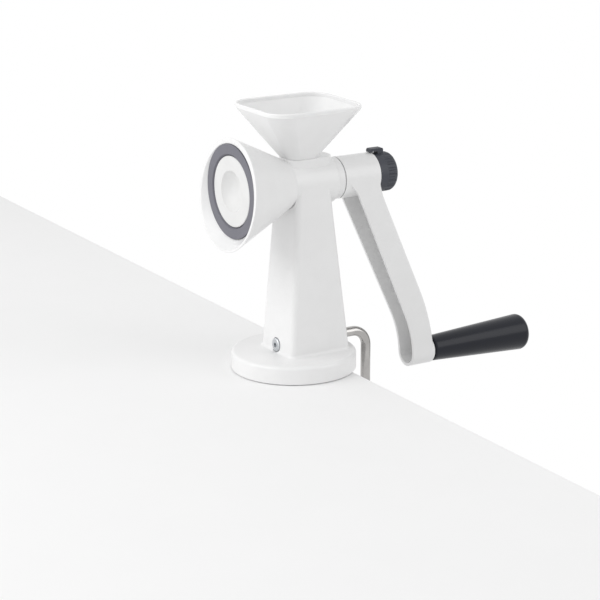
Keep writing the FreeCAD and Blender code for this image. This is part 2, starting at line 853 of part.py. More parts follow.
def make_grinding_cone():
    """The turning burr: a toothed cone with a dished face and a square socket for the shaft."""
    body = new_body("grinding_cone", S.head_height)
    profile = side_sketch(body, "ConeProfile")
    draw_outline(profile, [
        (S.cone_back, ZERO),
        (S.cone_back, cone_radius(S.cone_back)),
        (S.cone_front, cone_radius(S.cone_front), S.cone_rim_round),
        (S.cone_front, ZERO),
    ])
    revolve(body, profile, "Cone")
    socket = cross_sketch(body, "SocketOutline", S.shaft_front - S.end_play)
    draw_panel(socket, -SHAFT_SLOT_HALF, SHAFT_SLOT_HALF, -SHAFT_SLOT_HALF, SHAFT_SLOT_HALF)
    pocket(body, socket, S.cone_back - S.shaft_front + S.end_play + S.over_cut, "ShaftSocket")

    ball = (S.cone_dish_radius * S.cone_dish_radius / S.cone_dish_depth + S.cone_dish_depth) / 2
    middle = S.cone_front + S.cone_dish_depth - ball
    dish = side_sketch(body, "DishProfile")
    arc = dish.addGeometry(arc_between(point(middle.value, 0), ball.value,
                                       point(middle.value + ball.value, 0),
                                       point(middle.value - ball.value, 0)))
    chord = dish.addGeometry(Part.LineSegment(point(middle.value - ball.value, 0),
                                              point(middle.value + ball.value, 0)))
    dish.addConstraint(Sketcher.Constraint("Coincident", arc, 2, chord, 1))
    dish.addConstraint(Sketcher.Constraint("Coincident", chord, 2, arc, 1))
    hold_point(dish, arc, 3, middle, ZERO)
    hold_radius(dish, arc, ball)
    dish.addConstraint(Sketcher.Constraint("PointOnObject", chord, 1, -1))
    dish.addConstraint(Sketcher.Constraint("PointOnObject", chord, 2, -1))
    groove(body, dish, "Dish")

    front = S.cone_front + S.cone_rim_round
    fine = cross_sketch(body, "GrooveFront", front)
    draw_groove(fine, cone_radius(front), ZERO, -S.groove_height)
    back = S.cone_back + S.groove_end_play
    coarse = cross_sketch(body, "GrooveBack", back)
    draw_groove(coarse, cone_radius(back) - S.groove_depth, -S.cone_groove_turn, -S.groove_height)
    tooth = loft_cut(body, fine, coarse, "Groove")
    repeat_round(body, tooth, "Y_Axis", S.cone_groove_count, "Grooves")
    return body


# ---------------------------------------------------------------- feed screw, shaft and bush


def make_feed_screw():
    """The worm that carries the seed forward, pushed over the shaft."""
    body = new_body("feed_screw", S.head_height)
    core = side_sketch(body, "CoreProfile")
    draw_panel(core, S.cone_back, S.screw_back, S.shaft_radius + S.fixed_play, S.screw_core_radius)
    revolve(body, core, "Core")
    flight = side_sketch(body, "FlightProfile")
    draw_panel(flight, S.cone_back, S.cone_back + S.screw_flight,
               S.shaft_radius + S.fixed_play * 2, S.screw_radius)
    add_feature(body, "AdditiveHelix", "Flight", Profile=flight, ReferenceAxis=(flight, ["H_Axis"]),
                Mode="pitch-height-angle", Pitch=S.screw_pitch,
                Height=S.screw_back - S.cone_back - S.screw_flight)
    return body


def make_drive_shaft():
    """Square at both ends for the cone and the arm, round between, with a threaded tail."""
    body = new_body("drive_shaft", S.head_height)
    square = cross_sketch(body, "SquareOutline", SHAFT_SQUARE_BACK)
    half = S.shaft_square / 2
    draw_panel(square, -half, half, -half, half)
    pad(body, square, SHAFT_SQUARE_BACK - S.shaft_front, "Square")
    journal = cross_sketch(body, "JournalOutline", S.shaft_shoulder)
    draw_circle(journal, ZERO, ZERO, S.shaft_radius)
    pad(body, journal, S.shaft_shoulder - S.cone_back, "Journal")
    tail = cross_sketch(body, "TailOutline", S.shaft_end)
    draw_circle(tail, ZERO, ZERO, S.shaft_thread_radius)
    pad(body, tail, S.shaft_end - SHAFT_SQUARE_BACK, "ThreadedTail")
    return body


def make_rear_bush():
    """The bearing pressed into the back of the head tube."""
    body = new_body("rear_bush", S.head_height)
    profile = side_sketch(body, "BushProfile")
    bore = S.shaft_radius + S.running_play
    spigot = S.tube_bore_radius - S.fixed_play
    draw_outline(profile, [
        (S.bush_front, bore),
        (S.bush_front, spigot),
        (S.tube_back, spigot),
        (S.tube_back, S.bush_collar_radius),
        (BUSH_COLLAR_BACK, S.bush_collar_radius, S.bush_collar_round),
        (BUSH_COLLAR_BACK, bore),
    ])
    revolve(body, profile, "Bush")
    return body


def make_flat_ring(label, height, front, thickness, inner, outer):
    """A washer square to the Y axis."""
    body = new_body(label, height)
    outline = cross_sketch(body, "WasherOutline", front + thickness)
    draw_circle(outline, ZERO, ZERO, outer)
    draw_circle(outline, ZERO, ZERO, inner)
    pad(body, outline, thickness, "Washer")
    return body


# ---------------------------------------------------------------- crank arm


def arm_profile(sketch, web):
    """The arm from the side, bent twice; a web moves its back in by that thickness."""
    stretch = square_root(S.arm_back_slope * S.arm_back_slope + 1)
    seat_back = S.arm_seat_back - web
    end_back = S.arm_back_end - web
    knee_height = GRIP_HEIGHT + S.arm_back_knee_rise - web * (stretch - 1) / S.arm_back_slope
    neck_height = knee_height + (end_back - seat_back) / S.arm_back_slope
    rim_knee_height = ARM_RIM_HEIGHT - (S.arm_rim_end - S.arm_rim_reach) / S.arm_rim_slope
    shoulder_height = S.head_height - S.arm_shoulder_drop
    shoulder_reach = S.arm_rim_reach - (shoulder_height - ARM_RIM_HEIGHT) * S.arm_rim_slope
    rim_top_height = shoulder_height + (shoulder_reach - HUB_FRONT) / S.arm_shoulder_slope
    top = S.head_height + S.hub_radius + S.over_cut
    bottom = GRIP_HEIGHT - S.arm_end_radius - S.arm_run_out
    draw_outline(sketch, [
        (S.arm_rim_end, bottom),
        (end_back, bottom),
        (end_back, knee_height, S.arm_back_knee_bend - web),
        (seat_back, neck_height, S.arm_back_neck_bend + web),
        (seat_back, top),
        (HUB_FRONT, top),
        (HUB_FRONT, rim_top_height),
        (shoulder_reach, shoulder_height, S.arm_shoulder_bend),
        (S.arm_rim_end, rim_knee_height, S.arm_rim_bend),
    ])


def trim_to_slot(body, inset, name):
    """Cut away all that lies outside the arm's front outline, moved in by inset."""
    frame = cross_sketch(body, f"{name}Outline", ZERO)
    draw_tapered_slot(frame, S.head_height, S.hub_radius - inset, GRIP_HEIGHT,
                      S.arm_end_radius - inset)
    side = S.hub_radius + S.arm_run_out
    draw_panel(frame, -side, side, GRIP_HEIGHT - S.arm_end_radius - S.arm_run_out - S.over_cut,
               S.head_height + side)
    pocket_through(body, frame, name)


def make_arm_channel():
    """The hollow of the arm, open to the front, as a tool body."""
    body = new_body("ArmChannel")
    profile = side_sketch(body, "ChannelProfile")
    arm_profile(profile, S.arm_web)
    pad_both_ways(body, profile, S.hub_radius * 2, "ChannelSlab")
    trim_to_slot(body, S.arm_wall, "ChannelTrim")
    return body


def make_crank_arm():
    """A bent channel with a round hub, a square hole for the shaft and a hole for the grip's axle."""
    channel = make_arm_channel()
    body = new_body("crank_arm")
    profile = side_sketch(body, "ArmProfile")
    arm_profile(profile, ZERO)
    pad_both_ways(body, profile, S.hub_radius * 2 + S.over_cut, "Slab")
    trim_to_slot(body, ZERO, "Trim")

    def is_back_edge(edge):
        middle = samples(edge)[2]
        rim = S.arm_rim_reach.value + (ARM_RIM_HEIGHT.value - middle.z) * S.arm_rim_slope.value
        depth = (S.arm_back_end.value - S.arm_rim_end.value) / 2
        behind = middle.y > min(rim, S.arm_rim_end.value) + depth
        along_x = abs(edge.tangentAt(edge.FirstParameter).x) > 1 - TINY
        straight = isinstance(edge.Curve, Part.Line)
        return behind and not (straight and along_x) and not lies_at(edge, "x", ZERO)

    round_edges(body, S.arm_edge_round, "BackRound", is_back_edge)
    cut = body.newObject("PartDesign::Boolean", "Channel")
    cut.Type = "Cut"
    cut.setObjects([channel])
    body.Tip = cut
    DOC.recompute()

    hub = cross_sketch(body, "HubOutline", S.arm_seat_back)
    draw_circle(hub, ZERO, S.head_height, S.hub_radius)
    pad(body, hub, S.arm_seat_back - HUB_FRONT, "Hub")
    spot = cross_sketch(body, "SpotFaceOutline", S.arm_seat_back)
    draw_circle(spot, ZERO, S.head_height, S.spot_face_radius)
    pocket(body, spot, S.knob_end - S.arm_seat_back + S.over_cut, "SpotFace")
    bore = cross_sketch(body, "JournalBoreOutline", HUB_FRONT - S.over_cut)
    draw_circle(bore, ZERO, S.head_height, S.shaft_radius + S.running_play)
    pocket(body, bore, S.shaft_shoulder - HUB_FRONT + S.travel_room + S.over_cut, "JournalBore")
    square = cross_sketch(body, "SquareHoleOutline", S.shaft_shoulder)
    draw_panel(square, -SHAFT_SLOT_HALF, SHAFT_SLOT_HALF, S.head_height - SHAFT_SLOT_HALF,
               S.head_height + SHAFT_SLOT_HALF)
    pocket(body, square, S.arm_seat_back - S.shaft_shoulder + S.over_cut, "SquareHole")
    boss = side_sketch(body, "GripBossProfile", GRIP_HEIGHT)
    boss_front = AXLE_NUT_BACK - S.arm_wall
    draw_outline(boss, [
        (boss_front, ZERO),
        (boss_front, S.arm_end_radius),
        (S.arm_back_end, S.arm_end_radius, S.grip_boss_round),
        (S.arm_back_end, ZERO),
    ])
    revolve(body, boss, "GripBoss")
    recess = cross_sketch(body, "NutRecessOutline", S.arm_rim_end)
    draw_circle(recess, ZERO, GRIP_HEIGHT, S.nut_recess_radius)
    pocket(body, recess, AXLE_NUT_BACK - S.arm_rim_end, "NutRecess")
    hole = cross_sketch(body, "AxleHoleOutline", S.arm_rim_end)
    draw_circle(hole, ZERO, GRIP_HEIGHT, S.axle_radius + S.fixed_play)
    pocket(body, hole, S.arm_back_end - S.arm_rim_end + S.over_cut, "AxleHole")
    return body


# ---------------------------------------------------------------- grip and axle


def make_grip():
    """The pear shaped handle with a blind bore and an inner chamber for the axle's head."""
    body = new_body("grip", GRIP_HEIGHT)
    profile = side_sketch(body, "GripProfile")
    draw_outline(profile, [
        (GRIP_FRONT, ZERO),
        (GRIP_FRONT, S.grip_neck_radius, S.grip_neck_round),
        (S.grip_end, S.grip_end_radius, S.grip_end_round),
        (S.grip_end, ZERO),
    ])
    revolve(body, profile, "Grip")
    bore = side_sketch(body, "BoreProfile")
    shank = S.axle_radius + S.running_play
    chamber = S.axle_head_radius + S.end_play
    chamber_front = S.axle_head_start - S.end_play
    chamber_back = S.axle_head_start + S.axle_head_length + S.end_play
    draw_outline(bore, [
        (GRIP_FRONT - S.over_cut, ZERO),
        (GRIP_FRONT - S.over_cut, shank),
        (chamber_front, shank),
        (chamber_front, chamber),
        (chamber_back, chamber),
        (chamber_back, ZERO),
    ])
    groove(body, bore, "AxleBore")
    return body


def make_grip_axle():
    """The fixed pin that the grip turns on, with a head inside the grip."""
    body = new_body("grip_axle", GRIP_HEIGHT)
    profile = side_sketch(body, "AxleProfile")
    head_back = S.axle_head_start + S.axle_head_length
    draw_outline(profile, [
        (AXLE_NUT_FRONT - S.axle_nut_stand_out, ZERO),
        (AXLE_NUT_FRONT - S.axle_nut_stand_out, S.axle_radius),
        (S.axle_head_start, S.axle_radius),
        (S.axle_head_start, S.axle_head_radius),
        (head_back, S.axle_head_radius),
        (head_back, ZERO),
    ])
    revolve(body, profile, "Axle")
    return body


def make_nut(label, height, front, thickness, flats, bore):
    """A hexagon nut square to the Y axis."""
    body = new_body(label, height)
    outline = cross_sketch(body, "NutOutline", front + thickness)
    draw_hexagon(outline, flats)
    draw_circle(outline, ZERO, ZERO, bore)
    pad(body, outline, thickness, "Nut")
    return body


# ---------------------------------------------------------------- fineness knob


def make_adjusting_knob():
    """A fluted knob with a nut chamber and a finger that reaches forward over the arm's hub."""
    body = new_body("adjusting_knob", S.head_height)
    profile = side_sketch(body, "KnobProfile")
    draw_outline(profile, [
        (KNOB_FRONT, ZERO),
        (KNOB_FRONT, S.knob_radius),
        (S.knob_end, S.knob_radius, S.knob_edge_round),
        (S.knob_end, ZERO),
    ])
    revolve(body, profile, "Knob")
    flute = cross_sketch(body, "FluteOutline", S.knob_flute_start)
    draw_circle(flute, S.knob_radius + S.knob_flute_radius - S.knob_flute_sink, ZERO,
                S.knob_flute_radius)
    groove_feature = pocket(body, flute, S.knob_end - S.knob_flute_start + S.over_cut, "Flute")
    repeat_round(body, groove_feature, "Y_Axis", S.knob_flute_count, "Flutes")

    finger = side_sketch(body, "FingerProfile")
    underside = S.finger_top_radius - S.finger_thickness
    root = S.knob_radius - S.finger_thickness
    hook_end = S.hub_radius + S.finger_hook_play
    draw_outline(finger, [
        (S.finger_front, hook_end),
        (S.finger_front + S.finger_hook, hook_end),
        (S.finger_front + S.finger_hook, underside),
        (S.finger_back - S.finger_root, underside),
        (S.finger_back - S.finger_root, root),
        (S.finger_back, root),
        (S.finger_back, S.finger_top_radius, S.finger_round),
        (S.finger_front, S.finger_top_radius, S.finger_round),
    ])
    pad_both_ways(body, finger, S.finger_width, "Finger")

    chamber = cross_sketch(body, "NutChamberOutline", KNOB_FRONT)
    draw_hexagon(chamber, S.knob_nut_flats + S.fixed_play * 2)
    pocket(body, chamber, S.knob_nut_back - KNOB_FRONT, "NutChamber")
    bore = cross_sketch(body, "BoreOutline", KNOB_FRONT)
    draw_circle(bore, ZERO, ZERO, S.shaft_thread_radius + S.knob_bore_play)
    pocket(body, bore, S.knob_bore_end - KNOB_FRONT, "Bore")
    return body


# ---------------------------------------------------------------- hopper


def make_hopper():
    """A square funnel with well rounded corners, a thin rim and a plug for the head's socket."""
    body = new_body("hopper")
    bind(body, "Placement.Base.y", S.hopper_middle)
    half_x = S.rim_half_width - S.rim_overhang
    half_y = S.rim_half_depth - S.rim_overhang
    corner = S.rim_corner - S.rim_overhang
    foot = S.hopper_foot_half
    low = level_sketch(body, "FunnelFoot", SOCKET_TOP)
    draw_panel(low, -foot, foot, -foot, foot, S.hopper_foot_corner)
    high = level_sketch(body, "FunnelTop", RIM_UNDERSIDE)
    draw_panel(high, -half_x, half_x, -half_y, half_y, corner)
    loft(body, low, high, "Funnel")
    rim = level_sketch(body, "RimOutline", RIM_UNDERSIDE)
    draw_panel(rim, -S.rim_half_width, S.rim_half_width, -S.rim_half_depth, S.rim_half_depth,
               S.rim_corner)
    pad(body, rim, S.rim_thickness, "Rim")
    plug = level_sketch(body, "PlugOutline", SOCKET_FLOOR)
    draw_panel(plug, -S.plug_half, S.plug_half, -S.plug_half, S.plug_half, S.plug_corner)
    pad(body, plug, S.socket_depth, "Plug")

    inner_x = half_x - S.hopper_wall
    inner_y = half_y - S.hopper_wall
    mouth = level_sketch(body, "MouthOutline", RIM_HEIGHT)
    draw_panel(mouth, -inner_x, inner_x, -inner_y, inner_y, corner - S.hopper_wall)
    throat = level_sketch(body, "ThroatOutline", SOCKET_TOP)
    draw_panel(throat, -S.throat_half, S.throat_half, -S.throat_half, S.throat_half,
               S.throat_corner)
    loft_cut(body, throat, mouth, "Bowl")
    pocket(body, throat, S.socket_depth + S.over_cut, "Throat")
    round_edges(body, S.rim_round, "RimRound", lambda edge: lies_at(edge, "z", RIM_HEIGHT))
    return body


# ---------------------------------------------------------------- clamp


def make_clamp_rod():
    """The steel rod: out of the column's back, down, and forward under the worktop."""
    body = new_body("clamp_rod")
    path = side_sketch(body, "RodPath")
    draw_outline(path, [
        (S.rod_front, S.rod_height),
        (S.rod_reach, S.rod_height, S.rod_bend),
        (S.rod_reach, S.rod_drop, S.rod_bend),
        (S.rod_end, S.rod_drop),
    ], closed=False)
    section = cross_sketch(body, "RodSection", S.rod_front)
    draw_circle(section, ZERO, S.rod_height, S.rod_radius)
    add_feature(body, "AdditivePipe", "Rod", Profile=section, Spine=(path, []))
    thread = cross_sketch(body, "TappedHoleOutline", S.rod_front - S.over_cut)
    draw_circle(thread, ZERO, S.rod_height, S.rod_screw_radius + S.fixed_play)
    pocket(body, thread, S.rod_screw_end - S.rod_front + S.over_cut + S.travel_room, "TappedHole")
    pin = side_sketch(body, "PinHoleOutline")
    draw_circle(pin, S.block_pin_place, S.rod_drop, S.block_pin_radius + S.fixed_play)
    pocket_through(body, pin, "PinHole")
    return body


def make_rod_screw():
    """The socket screw that pulls the rod into the column."""
    body = new_body("rod_screw", S.rod_height)
    under_head = S.rod_screw_floor - S.rod_washer_thickness
    head_front = under_head - S.rod_screw_head_height
    profile = side_sketch(body, "ScrewProfile")
    draw_outline(profile, [
        (head_front, ZERO),
        (head_front, S.rod_screw_head_radius, S.rod_screw_head_round),
        (under_head, S.rod_screw_head_radius),
        (under_head, S.rod_screw_radius),
        (S.rod_screw_end, S.rod_screw_radius),
        (S.rod_screw_end, ZERO),
    ])
    revolve(body, profile, "Screw")
    key = cross_sketch(body, "KeyOutline", head_front - S.over_cut)
    draw_hexagon(key, S.rod_screw_hex)
    pocket(body, key, S.rod_screw_hex_depth + S.over_cut, "Key")
    return body


def make_clamp_block():
    """The block at the rod's end, bored for the spindle."""
    body = new_body("clamp_block", S.rod_drop)
    outline = level_sketch(body, "BlockOutline", -S.block_half_height)
    draw_panel(outline, -S.block_half_width, S.block_half_width, S.block_front, S.block_back,
               S.block_edge_round)
    pad(body, outline, S.block_half_height * 2, "Block")
    bore = level_sketch(body, "SpindleBoreOutline", S.block_half_height + S.over_cut)
    draw_circle(bore, ZERO, ZERO, S.spindle_radius + S.running_play)
    pocket(body, bore, S.block_half_height * 2 + S.over_cut * 2, "SpindleBore")
    socket = cross_sketch(body, "RodSocketOutline", S.rod_end)
    draw_circle(socket, ZERO, ZERO, S.rod_radius + S.fixed_play)
    pocket(body, socket, S.block_back - S.rod_end + S.over_cut, "RodSocket")
    pin = side_sketch(body, "PinHoleOutline")
    draw_circle(pin, S.block_pin_place, ZERO, S.block_pin_radius + S.fixed_play)
    pocket_through(body, pin, "PinHole")
    return body


def make_block_pin():
    """The cross pin that keeps the rod in the block."""
    body = new_body("block_pin", S.rod_drop)
    outline = side_sketch(body, "PinOutline")
    draw_circle(outline, S.block_pin_place, ZERO, S.block_pin_radius)
    pad_both_ways(body, outline, S.block_half_width * 2, "Pin")
    return body


def make_clamp_pad():
    """The swivelling foot of the clamp, hollow for the spindle's head."""
    body = new_body("clamp_pad")
    profile = front_sketch(body, "PadProfile")
    chamber = S.spindle_radius + S.end_play
    chamber_floor = SPINDLE_HEAD_BOTTOM - S.end_play
    neck_bore = S.spindle_neck_radius + S.running_play
    draw_outline(profile, [
        (neck_bore, chamber_floor),
        (neck_bore, PAD_BOTTOM),
        (S.pad_radius, PAD_BOTTOM, S.pad_edge_round),
        (S.pad_radius, LINER_BOTTOM),
        (chamber, LINER_BOTTOM),
        (chamber, chamber_floor),
    ])
    revolve(body, profile, "Pad", "V_Axis")
    return body


def make_pad_liner():
    """The soft facing of the clamp's foot."""
    body = new_body("pad_liner")
    outline = level_sketch(body, "LinerOutline", LINER_BOTTOM)
    draw_circle(outline, ZERO, ZERO, S.liner_radius)
    pad(body, outline, S.liner_thickness, "Liner")
    return body


def make_clamp_spindle():
    """The threaded spindle with a narrow neck and a head that sits in the pad."""
    body = new_body("clamp_spindle")
    profile = front_sketch(body, "SpindleProfile")
    neck_bottom = PAD_BOTTOM - S.travel_room
    draw_outline(profile, [
        (ZERO, S.spindle_end),
        (S.spindle_radius, S.spindle_end),
        (S.spindle_radius, neck_bottom),
        (S.spindle_neck_radius, neck_bottom),
        (S.spindle_neck_radius, SPINDLE_HEAD_BOTTOM),
        (S.spindle_radius, SPINDLE_HEAD_BOTTOM),
        (S.spindle_radius, SPINDLE_HEAD_TOP),
        (ZERO, SPINDLE_HEAD_TOP),
    ])
    revolve(body, profile, "Spindle", "V_Axis")
    return body


def make_clamp_knob():
    """The scalloped hand knob on the spindle's lower end."""
    body = new_body("clamp_knob")
    profile = front_sketch(body, "KnobProfile")
    draw_outline(profile, [
        (ZERO, S.clamp_knob_bottom),
        (S.clamp_knob_radius, S.clamp_knob_bottom, S.clamp_knob_round),
        (S.clamp_knob_radius, S.clamp_knob_top, S.clamp_knob_round),
        (ZERO, S.clamp_knob_top),
    ])
    revolve(body, profile, "Knob", "V_Axis")
    scallop = level_sketch(body, "ScallopOutline", S.clamp_knob_top + S.over_cut)
    away = S.clamp_knob_radius + S.clamp_knob_scallop_radius - S.clamp_knob_scallop_sink
    draw_circle(scallop, away, ZERO, S.clamp_knob_scallop_radius)
    depth = S.clamp_knob_top - S.clamp_knob_bottom + S.over_cut * 2
    cut = pocket(body, scallop, depth, "Scallop")
    repeat_round(body, cut, "Z_Axis", S.clamp_knob_lobe_count, "Scallops")
    bore = level_sketch(body, "BoreOutline", S.clamp_knob_top + S.over_cut)
    draw_circle(bore, ZERO, ZERO, S.spindle_radius + S.fixed_play)
    pocket(body, bore, S.clamp_knob_top - S.spindle_end + S.over_cut, "Bore")
    return body


# ---------------------------------------------------------------- the whole mill


def make_all():
    """Every piece of the mill, in the order in which it is put together."""
    return [
        make_housing(),
        make_foot_pad(),
        make_outlet_bell(),
        make_hopper(),
        make_grinding_ring(),
        make_rear_bush(),
        make_clamp_rod(),
        make_rod_screw(),
        make_flat_ring("rod_washer", S.rod_height, S.rod_screw_floor - S.rod_washer_thickness,
                       S.rod_washer_thickness, S.rod_screw_radius + S.end_play,
                       S.rod_washer_radius),
        make_clamp_block(),
        make_block_pin(),
        make_crank_arm(),
        make_grip_axle(),
        make_nut("axle_nut", GRIP_HEIGHT, AXLE_NUT_FRONT, S.axle_nut_thickness, S.axle_nut_flats,
                 S.axle_radius + S.fixed_play),
        make_flat_ring("grip_washer", GRIP_HEIGHT, S.arm_back_end, S.grip_washer_thickness,
                       S.axle_radius + S.fixed_play, S.grip_washer_radius),
        make_flat_ring("thrust_washer", S.head_height, THRUST_FRONT, S.thrust_washer_thickness,
                       S.shaft_radius + S.running_play, S.thrust_washer_radius),
        make_drive_shaft(),
        make_feed_screw(),
        make_grinding_cone(),
        make_adjusting_knob(),
        make_nut("knob_nut", S.head_height, KNOB_NUT_FRONT, S.knob_nut_back - KNOB_NUT_FRONT,
                 S.knob_nut_flats, S.shaft_thread_radius + S.running_play),
        make_grip(),
        make_clamp_pad(),
        make_pad_liner(),
        make_clamp_spindle(),
        make_clamp_knob(),
    ]


def check_document():
    """Raise an error if any object of the document failed to build."""
    for thing in DOC.Objects:
        if "Invalid" in thing.State or "Error" in thing.State:
            raise RuntimeError(f"{thing.Label} failed: {thing.State}")


def write_pieces(pieces):
    """Check each piece's solid and write it to a STEP file of its own."""
    os.makedirs("parts", exist_ok=True)
    for piece in pieces:
        shape = piece.Shape
        if shape.isNull() or not shape.isValid() or len(shape.Solids) != 1:
            raise RuntimeError(f"{piece.Label} is not one valid solid")
        shape.exportStep(f"parts/{piece.Label}.step")


PIECES = make_all()
DOC.recompute()
check_document()
write_pieces(PIECES)
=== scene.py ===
"""Dresses a hand cranked poppy seed mill: finishes, hopper, grip, clamp thread, stage and camera.

Lengths are metres. +Z is up, the head's axis runs along Y with the outlet at -Y, and the origin is
the middle of the foot's underside. The drawn solids arrive as the frame and get their finishes.
Three of them, the hopper, the grip and the clamp's spindle, are replaced by finer pieces.
"""

import math

import bmesh
import bpy
from mathutils import Matrix, Vector


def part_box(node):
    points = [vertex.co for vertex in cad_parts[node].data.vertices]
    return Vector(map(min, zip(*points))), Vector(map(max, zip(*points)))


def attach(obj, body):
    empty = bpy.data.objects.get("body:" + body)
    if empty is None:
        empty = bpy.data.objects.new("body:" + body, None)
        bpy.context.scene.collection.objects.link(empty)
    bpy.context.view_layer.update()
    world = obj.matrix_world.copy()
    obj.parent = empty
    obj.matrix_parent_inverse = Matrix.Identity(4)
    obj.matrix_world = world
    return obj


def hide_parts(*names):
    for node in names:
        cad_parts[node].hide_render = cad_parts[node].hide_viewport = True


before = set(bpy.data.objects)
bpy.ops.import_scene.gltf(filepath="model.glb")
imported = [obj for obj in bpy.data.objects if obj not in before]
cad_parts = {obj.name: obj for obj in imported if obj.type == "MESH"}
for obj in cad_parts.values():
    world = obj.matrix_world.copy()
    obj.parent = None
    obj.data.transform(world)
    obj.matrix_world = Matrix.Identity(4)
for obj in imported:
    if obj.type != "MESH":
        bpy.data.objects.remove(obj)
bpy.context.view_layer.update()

bl_info = {
    "name": "Poppy Seed Mill Dresser",
    "version": (1, 0, 0),
    "blender": (4, 5, 0),
    "location": "3D View > Sidebar > Mill",
    "description": "Finishes, finer pieces and a plain stage for a hand cranked poppy seed mill",
    "category": "Object",
}

MILLIMETRE = 0.001
# points nearer than this are one point
MERGE_DISTANCE = 0.001 * MILLIMETRE

# edges that bend more than this stay crisp, in degrees
SOLID_CREASE = 24.0
SKIN_CREASE = 32.0
THREAD_CREASE = 40.0

# colours that have no setting
TURNED_STEEL = (0.56, 0.555, 0.54)
ROD_STEEL = (0.42, 0.41, 0.40)
ZINC = (0.60, 0.62, 0.64)
LINER_RUBBER = (0.05, 0.05, 0.052)
FLOOR_GREY = (0.89, 0.89, 0.89)

# what the camera and the lamps are placed from
STAGE_MIDDLE = Vector((0.0, 0.0, 0.1))
# each lamp's place from there: up, right and towards the camera
KEY_LAMP_PLACE = (0.75, -1.4, 0.8)
KEY_LAMP_WIDTH = 1.6
FILL_LAMP_PLACE = (0.5, 1.3, 0.6)
FILL_LAMP_WIDTH = 1.0

# which finish each drawn piece wears
PIECE_FINISH = {
    "housing": "white_plastic",
    "outlet_bell": "white_plastic",
    "rear_bush": "white_plastic",
    "crank_arm": "white_plastic",
    "hopper": "funnel_plastic",
    "grinding_cone": "cone_plastic",
    "feed_screw": "cone_plastic",
    "grinding_ring": "grey_plastic",
    "adjusting_knob": "knob_plastic",
    "grip": "grip_plastic",
    "clamp_knob": "knob_plastic",
    "drive_shaft": "steel",
    "grip_axle": "steel",
    "clamp_rod": "rod_steel",
    "clamp_spindle": "steel",
    "block_pin": "steel",
    "thrust_washer": "steel",
    "clamp_block": "zinc_steel",
    "clamp_pad": "knob_plastic",
    "knob_nut": "zinc_steel",
    "axle_nut": "zinc_steel",
    "grip_washer": "zinc_steel",
    "rod_screw": "zinc_steel",
    "rod_washer": "zinc_steel",
    "foot_pad": "soft_foot",
    "pad_liner": "soft_liner",
}


# ---------------------------------------------------------------- node helpers


class NodeDraft:
    """Adds nodes to a tree and links their sockets in one call each."""

    def __init__(self, tree):
        self.tree = tree

    def add(self, kind, inputs=None, **settings):
        node = self.tree.nodes.new(kind)
        for name, value in settings.items():
            setattr(node, name, value)
        for socket, value in (inputs or {}).items():
            self.feed(node, socket, value)
        return node

    def feed(self, node, socket, value):
        if isinstance(value, bpy.types.NodeSocket):
            self.tree.links.new(value, node.inputs[socket])
        else:
            node.inputs[socket].default_value = value

    def maths(self, operation, first, second=0.0, clamp=False):
        inputs = {0: first, 1: second}
        return self.add("ShaderNodeMath", inputs, operation=operation, use_clamp=clamp).outputs[0]

    def arrange(self):
        """Lays the nodes out in reading order, so the tree opens tidy."""
        for index, node in enumerate(self.tree.nodes):
            node.location = (220 * (index // 4), -260 * (index % 4))


def shades(colour, spread):
    """A darker and a lighter neighbour of a colour."""
    darker = tuple(channel * (1.0 - spread) for channel in colour[:3]) + (1.0,)
    lighter = tuple(min(1.0, channel * (1.0 + spread)) for channel in colour[:3]) + (1.0,)
    return darker, lighter


def start_finish(name):
    """An empty node material with its shader, ready for a recipe."""
    material = bpy.data.materials.new(name)
    material.use_nodes = True
    tree = material.node_tree
    tree.nodes.clear()
    draft = NodeDraft(tree)
    place = draft.add("ShaderNodeTexCoord").outputs["Object"]
    shader = draft.add("ShaderNodeBsdfPrincipled")
    output = draft.add("ShaderNodeOutputMaterial")
    tree.links.new(shader.outputs["BSDF"], output.inputs["Surface"])
    return material, draft, place, shader


def grain(draft, place, size, detail=3.0, roughness=0.5, stretch=None):
    """A noise value whose features are about one size, in metres."""
    vector = place
    if stretch:
        vector = draft.add("ShaderNodeMapping", {"Vector": place, "Scale": stretch}).outputs[0]
    noise = draft.add(
        "ShaderNodeTexNoise",
        {"Vector": vector, "Scale": 1.0 / size, "Detail": detail, "Roughness": roughness},
    )
    return noise.outputs["Fac"]


def blend_shades(draft, value, colour, spread):
    """A colour that drifts between its two neighbours as a value does."""
    ramp = draft.add("ShaderNodeValToRGB", {"Fac": value})
    for stop, position, shade in zip(ramp.color_ramp.elements, (0.3, 0.7), shades(colour, spread)):
        stop.position = position
        stop.color = shade
    return ramp.outputs["Color"]


def vary(draft, value, low, high):
    """A value from 0 to 1, spread between a low and a high one."""
    node = draft.add("ShaderNodeMapRange", {"Value": value, "To Min": low, "To Max": high})
    return node.outputs["Result"]


def relief(draft, height, distance, strength, normal=None):
    """Bumps of a depth in metres, laid over another relief where one is given."""
    inputs = {"Height": height, "Distance": distance, "Strength": strength}
    if normal:
        inputs["Normal"] = normal
    return draft.add("ShaderNodeBump", inputs).outputs["Normal"]


